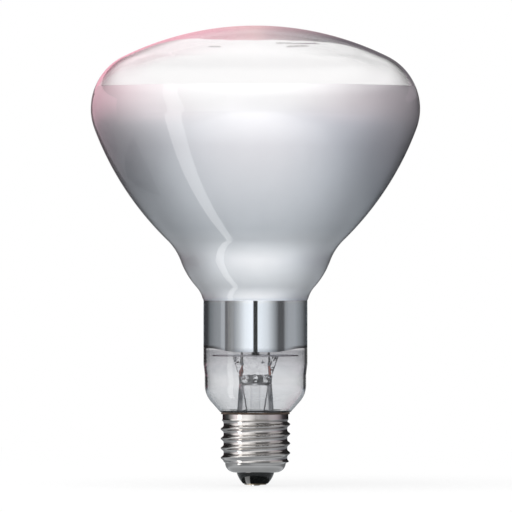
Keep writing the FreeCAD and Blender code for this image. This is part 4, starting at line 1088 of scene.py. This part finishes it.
def ring_shade(tree):
    """White at the left, dark right of the middle, black behind."""
    x, y, z = add_node(tree, "ShaderNodeSeparateXYZ", {0: place_on(tree)}).outputs
    return round_ramp(tree, turn_round(tree, x, y), (
        (-180, 0.02), (-104, 0.02), (-97, 0.5), (-90, 1.6), (-30, 1.7), (-22, 1.05), (-4, 0.75), (1, 0.13),
        (50, 0.13), (57, 0.62), (112, 0.55), (118, 0.03), (180, 0.02),
    ))


def upright(back, *points):
    """Corners of a card that stands across the view, as points (across, height)."""
    return [(across, back, height) for across, height in points]


ring_height = 0.078
ring_inner = 0.034
ring_outer = 0.25
wall_back = 0.2
side_back = 0.06
slate_height = 0.3 * MM
slate = (0.07, 0.09, 0.105)
dusk = (0.12, 0.04, 0.07)


def studio_cards():
    """A ring above the cap, a rosy wall with dark edges behind the dome, and two cards at the left."""
    ring = circle(ring_outer, ring_height, 65) + circle(ring_inner, ring_height, 65)[::-1]
    mirrored_card("ring_card", ring, ring_shade, from_below=True)
    mirrored_card("rosy_card", upright(
        wall_back, (-0.3, 0.17), (0.3, 0.17), (0.3, 0.2), (0.09, 0.213), (0.066, 0.255), (0.054, 0.3),
        (0.036, 0.333), (0.0, 0.352), (-0.026, 0.34), (-0.041, 0.307), (-0.049, 0.26), (-0.056, 0.22),
        (-0.075, 0.207), (-0.3, 0.2)), rosy_shade)
    mirrored_card("rosy_side_card", upright(
        side_back, (-0.26, 0.09), (-0.085, 0.09), (-0.085, 0.17), (-0.26, 0.185)), side_shade)
    slate_corners = (
        (-0.305, 0.052), (-0.207, 0.032), (-0.156, 0.039), (-0.192, 0.121), (-0.243, 0.279), (-0.277, 0.19))
    mirrored_card("slate_card", [(x, y, slate_height) for x, y in slate_corners], slate)
    mirrored_card("shelf_edge_low", upright(
        wall_back, (0.022, 0.366), (0.044, 0.345), (0.055, 0.315), (0.06, 0.315), (0.048, 0.351),
        (0.024, 0.373)), dusk)
    mirrored_card("shelf_edge_right", upright(
        wall_back, (0.036, 0.386), (0.054, 0.352), (0.059, 0.357), (0.039, 0.396)), dusk)
    mirrored_card("shelf_edge_left", upright(
        wall_back, (-0.05, 0.366), (-0.04, 0.384), (-0.043, 0.39), (-0.054, 0.37)), dusk)


def soft_lamp(name, place, aim, width, height, power):
    """A flat soft light that isn't seen itself."""
    data = bpy.data.lights.new(name, "AREA")
    data.shape = "RECTANGLE"
    data.size = width
    data.size_y = height
    data.energy = power
    lamp = bpy.data.objects.new(name, data)
    bpy.context.scene.collection.objects.link(lamp)
    lamp.location = place
    lamp.rotation_euler = (Vector(aim) - Vector(place)).to_track_quat("-Z", "Y").to_euler()
    lamp.visible_camera = False
    lamp.visible_glossy = False
    lamp.visible_transmission = False


studio_world()
pale_floor()
studio_cards()
soft_lamp("overhead_lamp", place=(-0.2, -0.25, 1.25), aim=(0, 0, 0.05), width=0.8, height=0.8, power=8.0)


# Camera

camera_distance = 2.64
camera_across = 0.21 * MM
camera_height = 87.04 * MM
frame_width = 0.1942
sensor_width = 36.0

camera_data = bpy.data.cameras.new("camera")
camera = bpy.data.objects.new("camera", camera_data)
bpy.context.scene.collection.objects.link(camera)
camera_data.sensor_width = sensor_width
camera_data.lens = sensor_width * camera_distance / frame_width
camera_data.clip_start = 0.05
camera_data.clip_end = 20.0
camera.location = (camera_across, -camera_distance, camera_height)
camera.rotation_euler = (math.pi / 2, 0, 0)
bpy.context.scene.camera = camera

bpy.context.scene.view_settings.view_transform = "Standard"
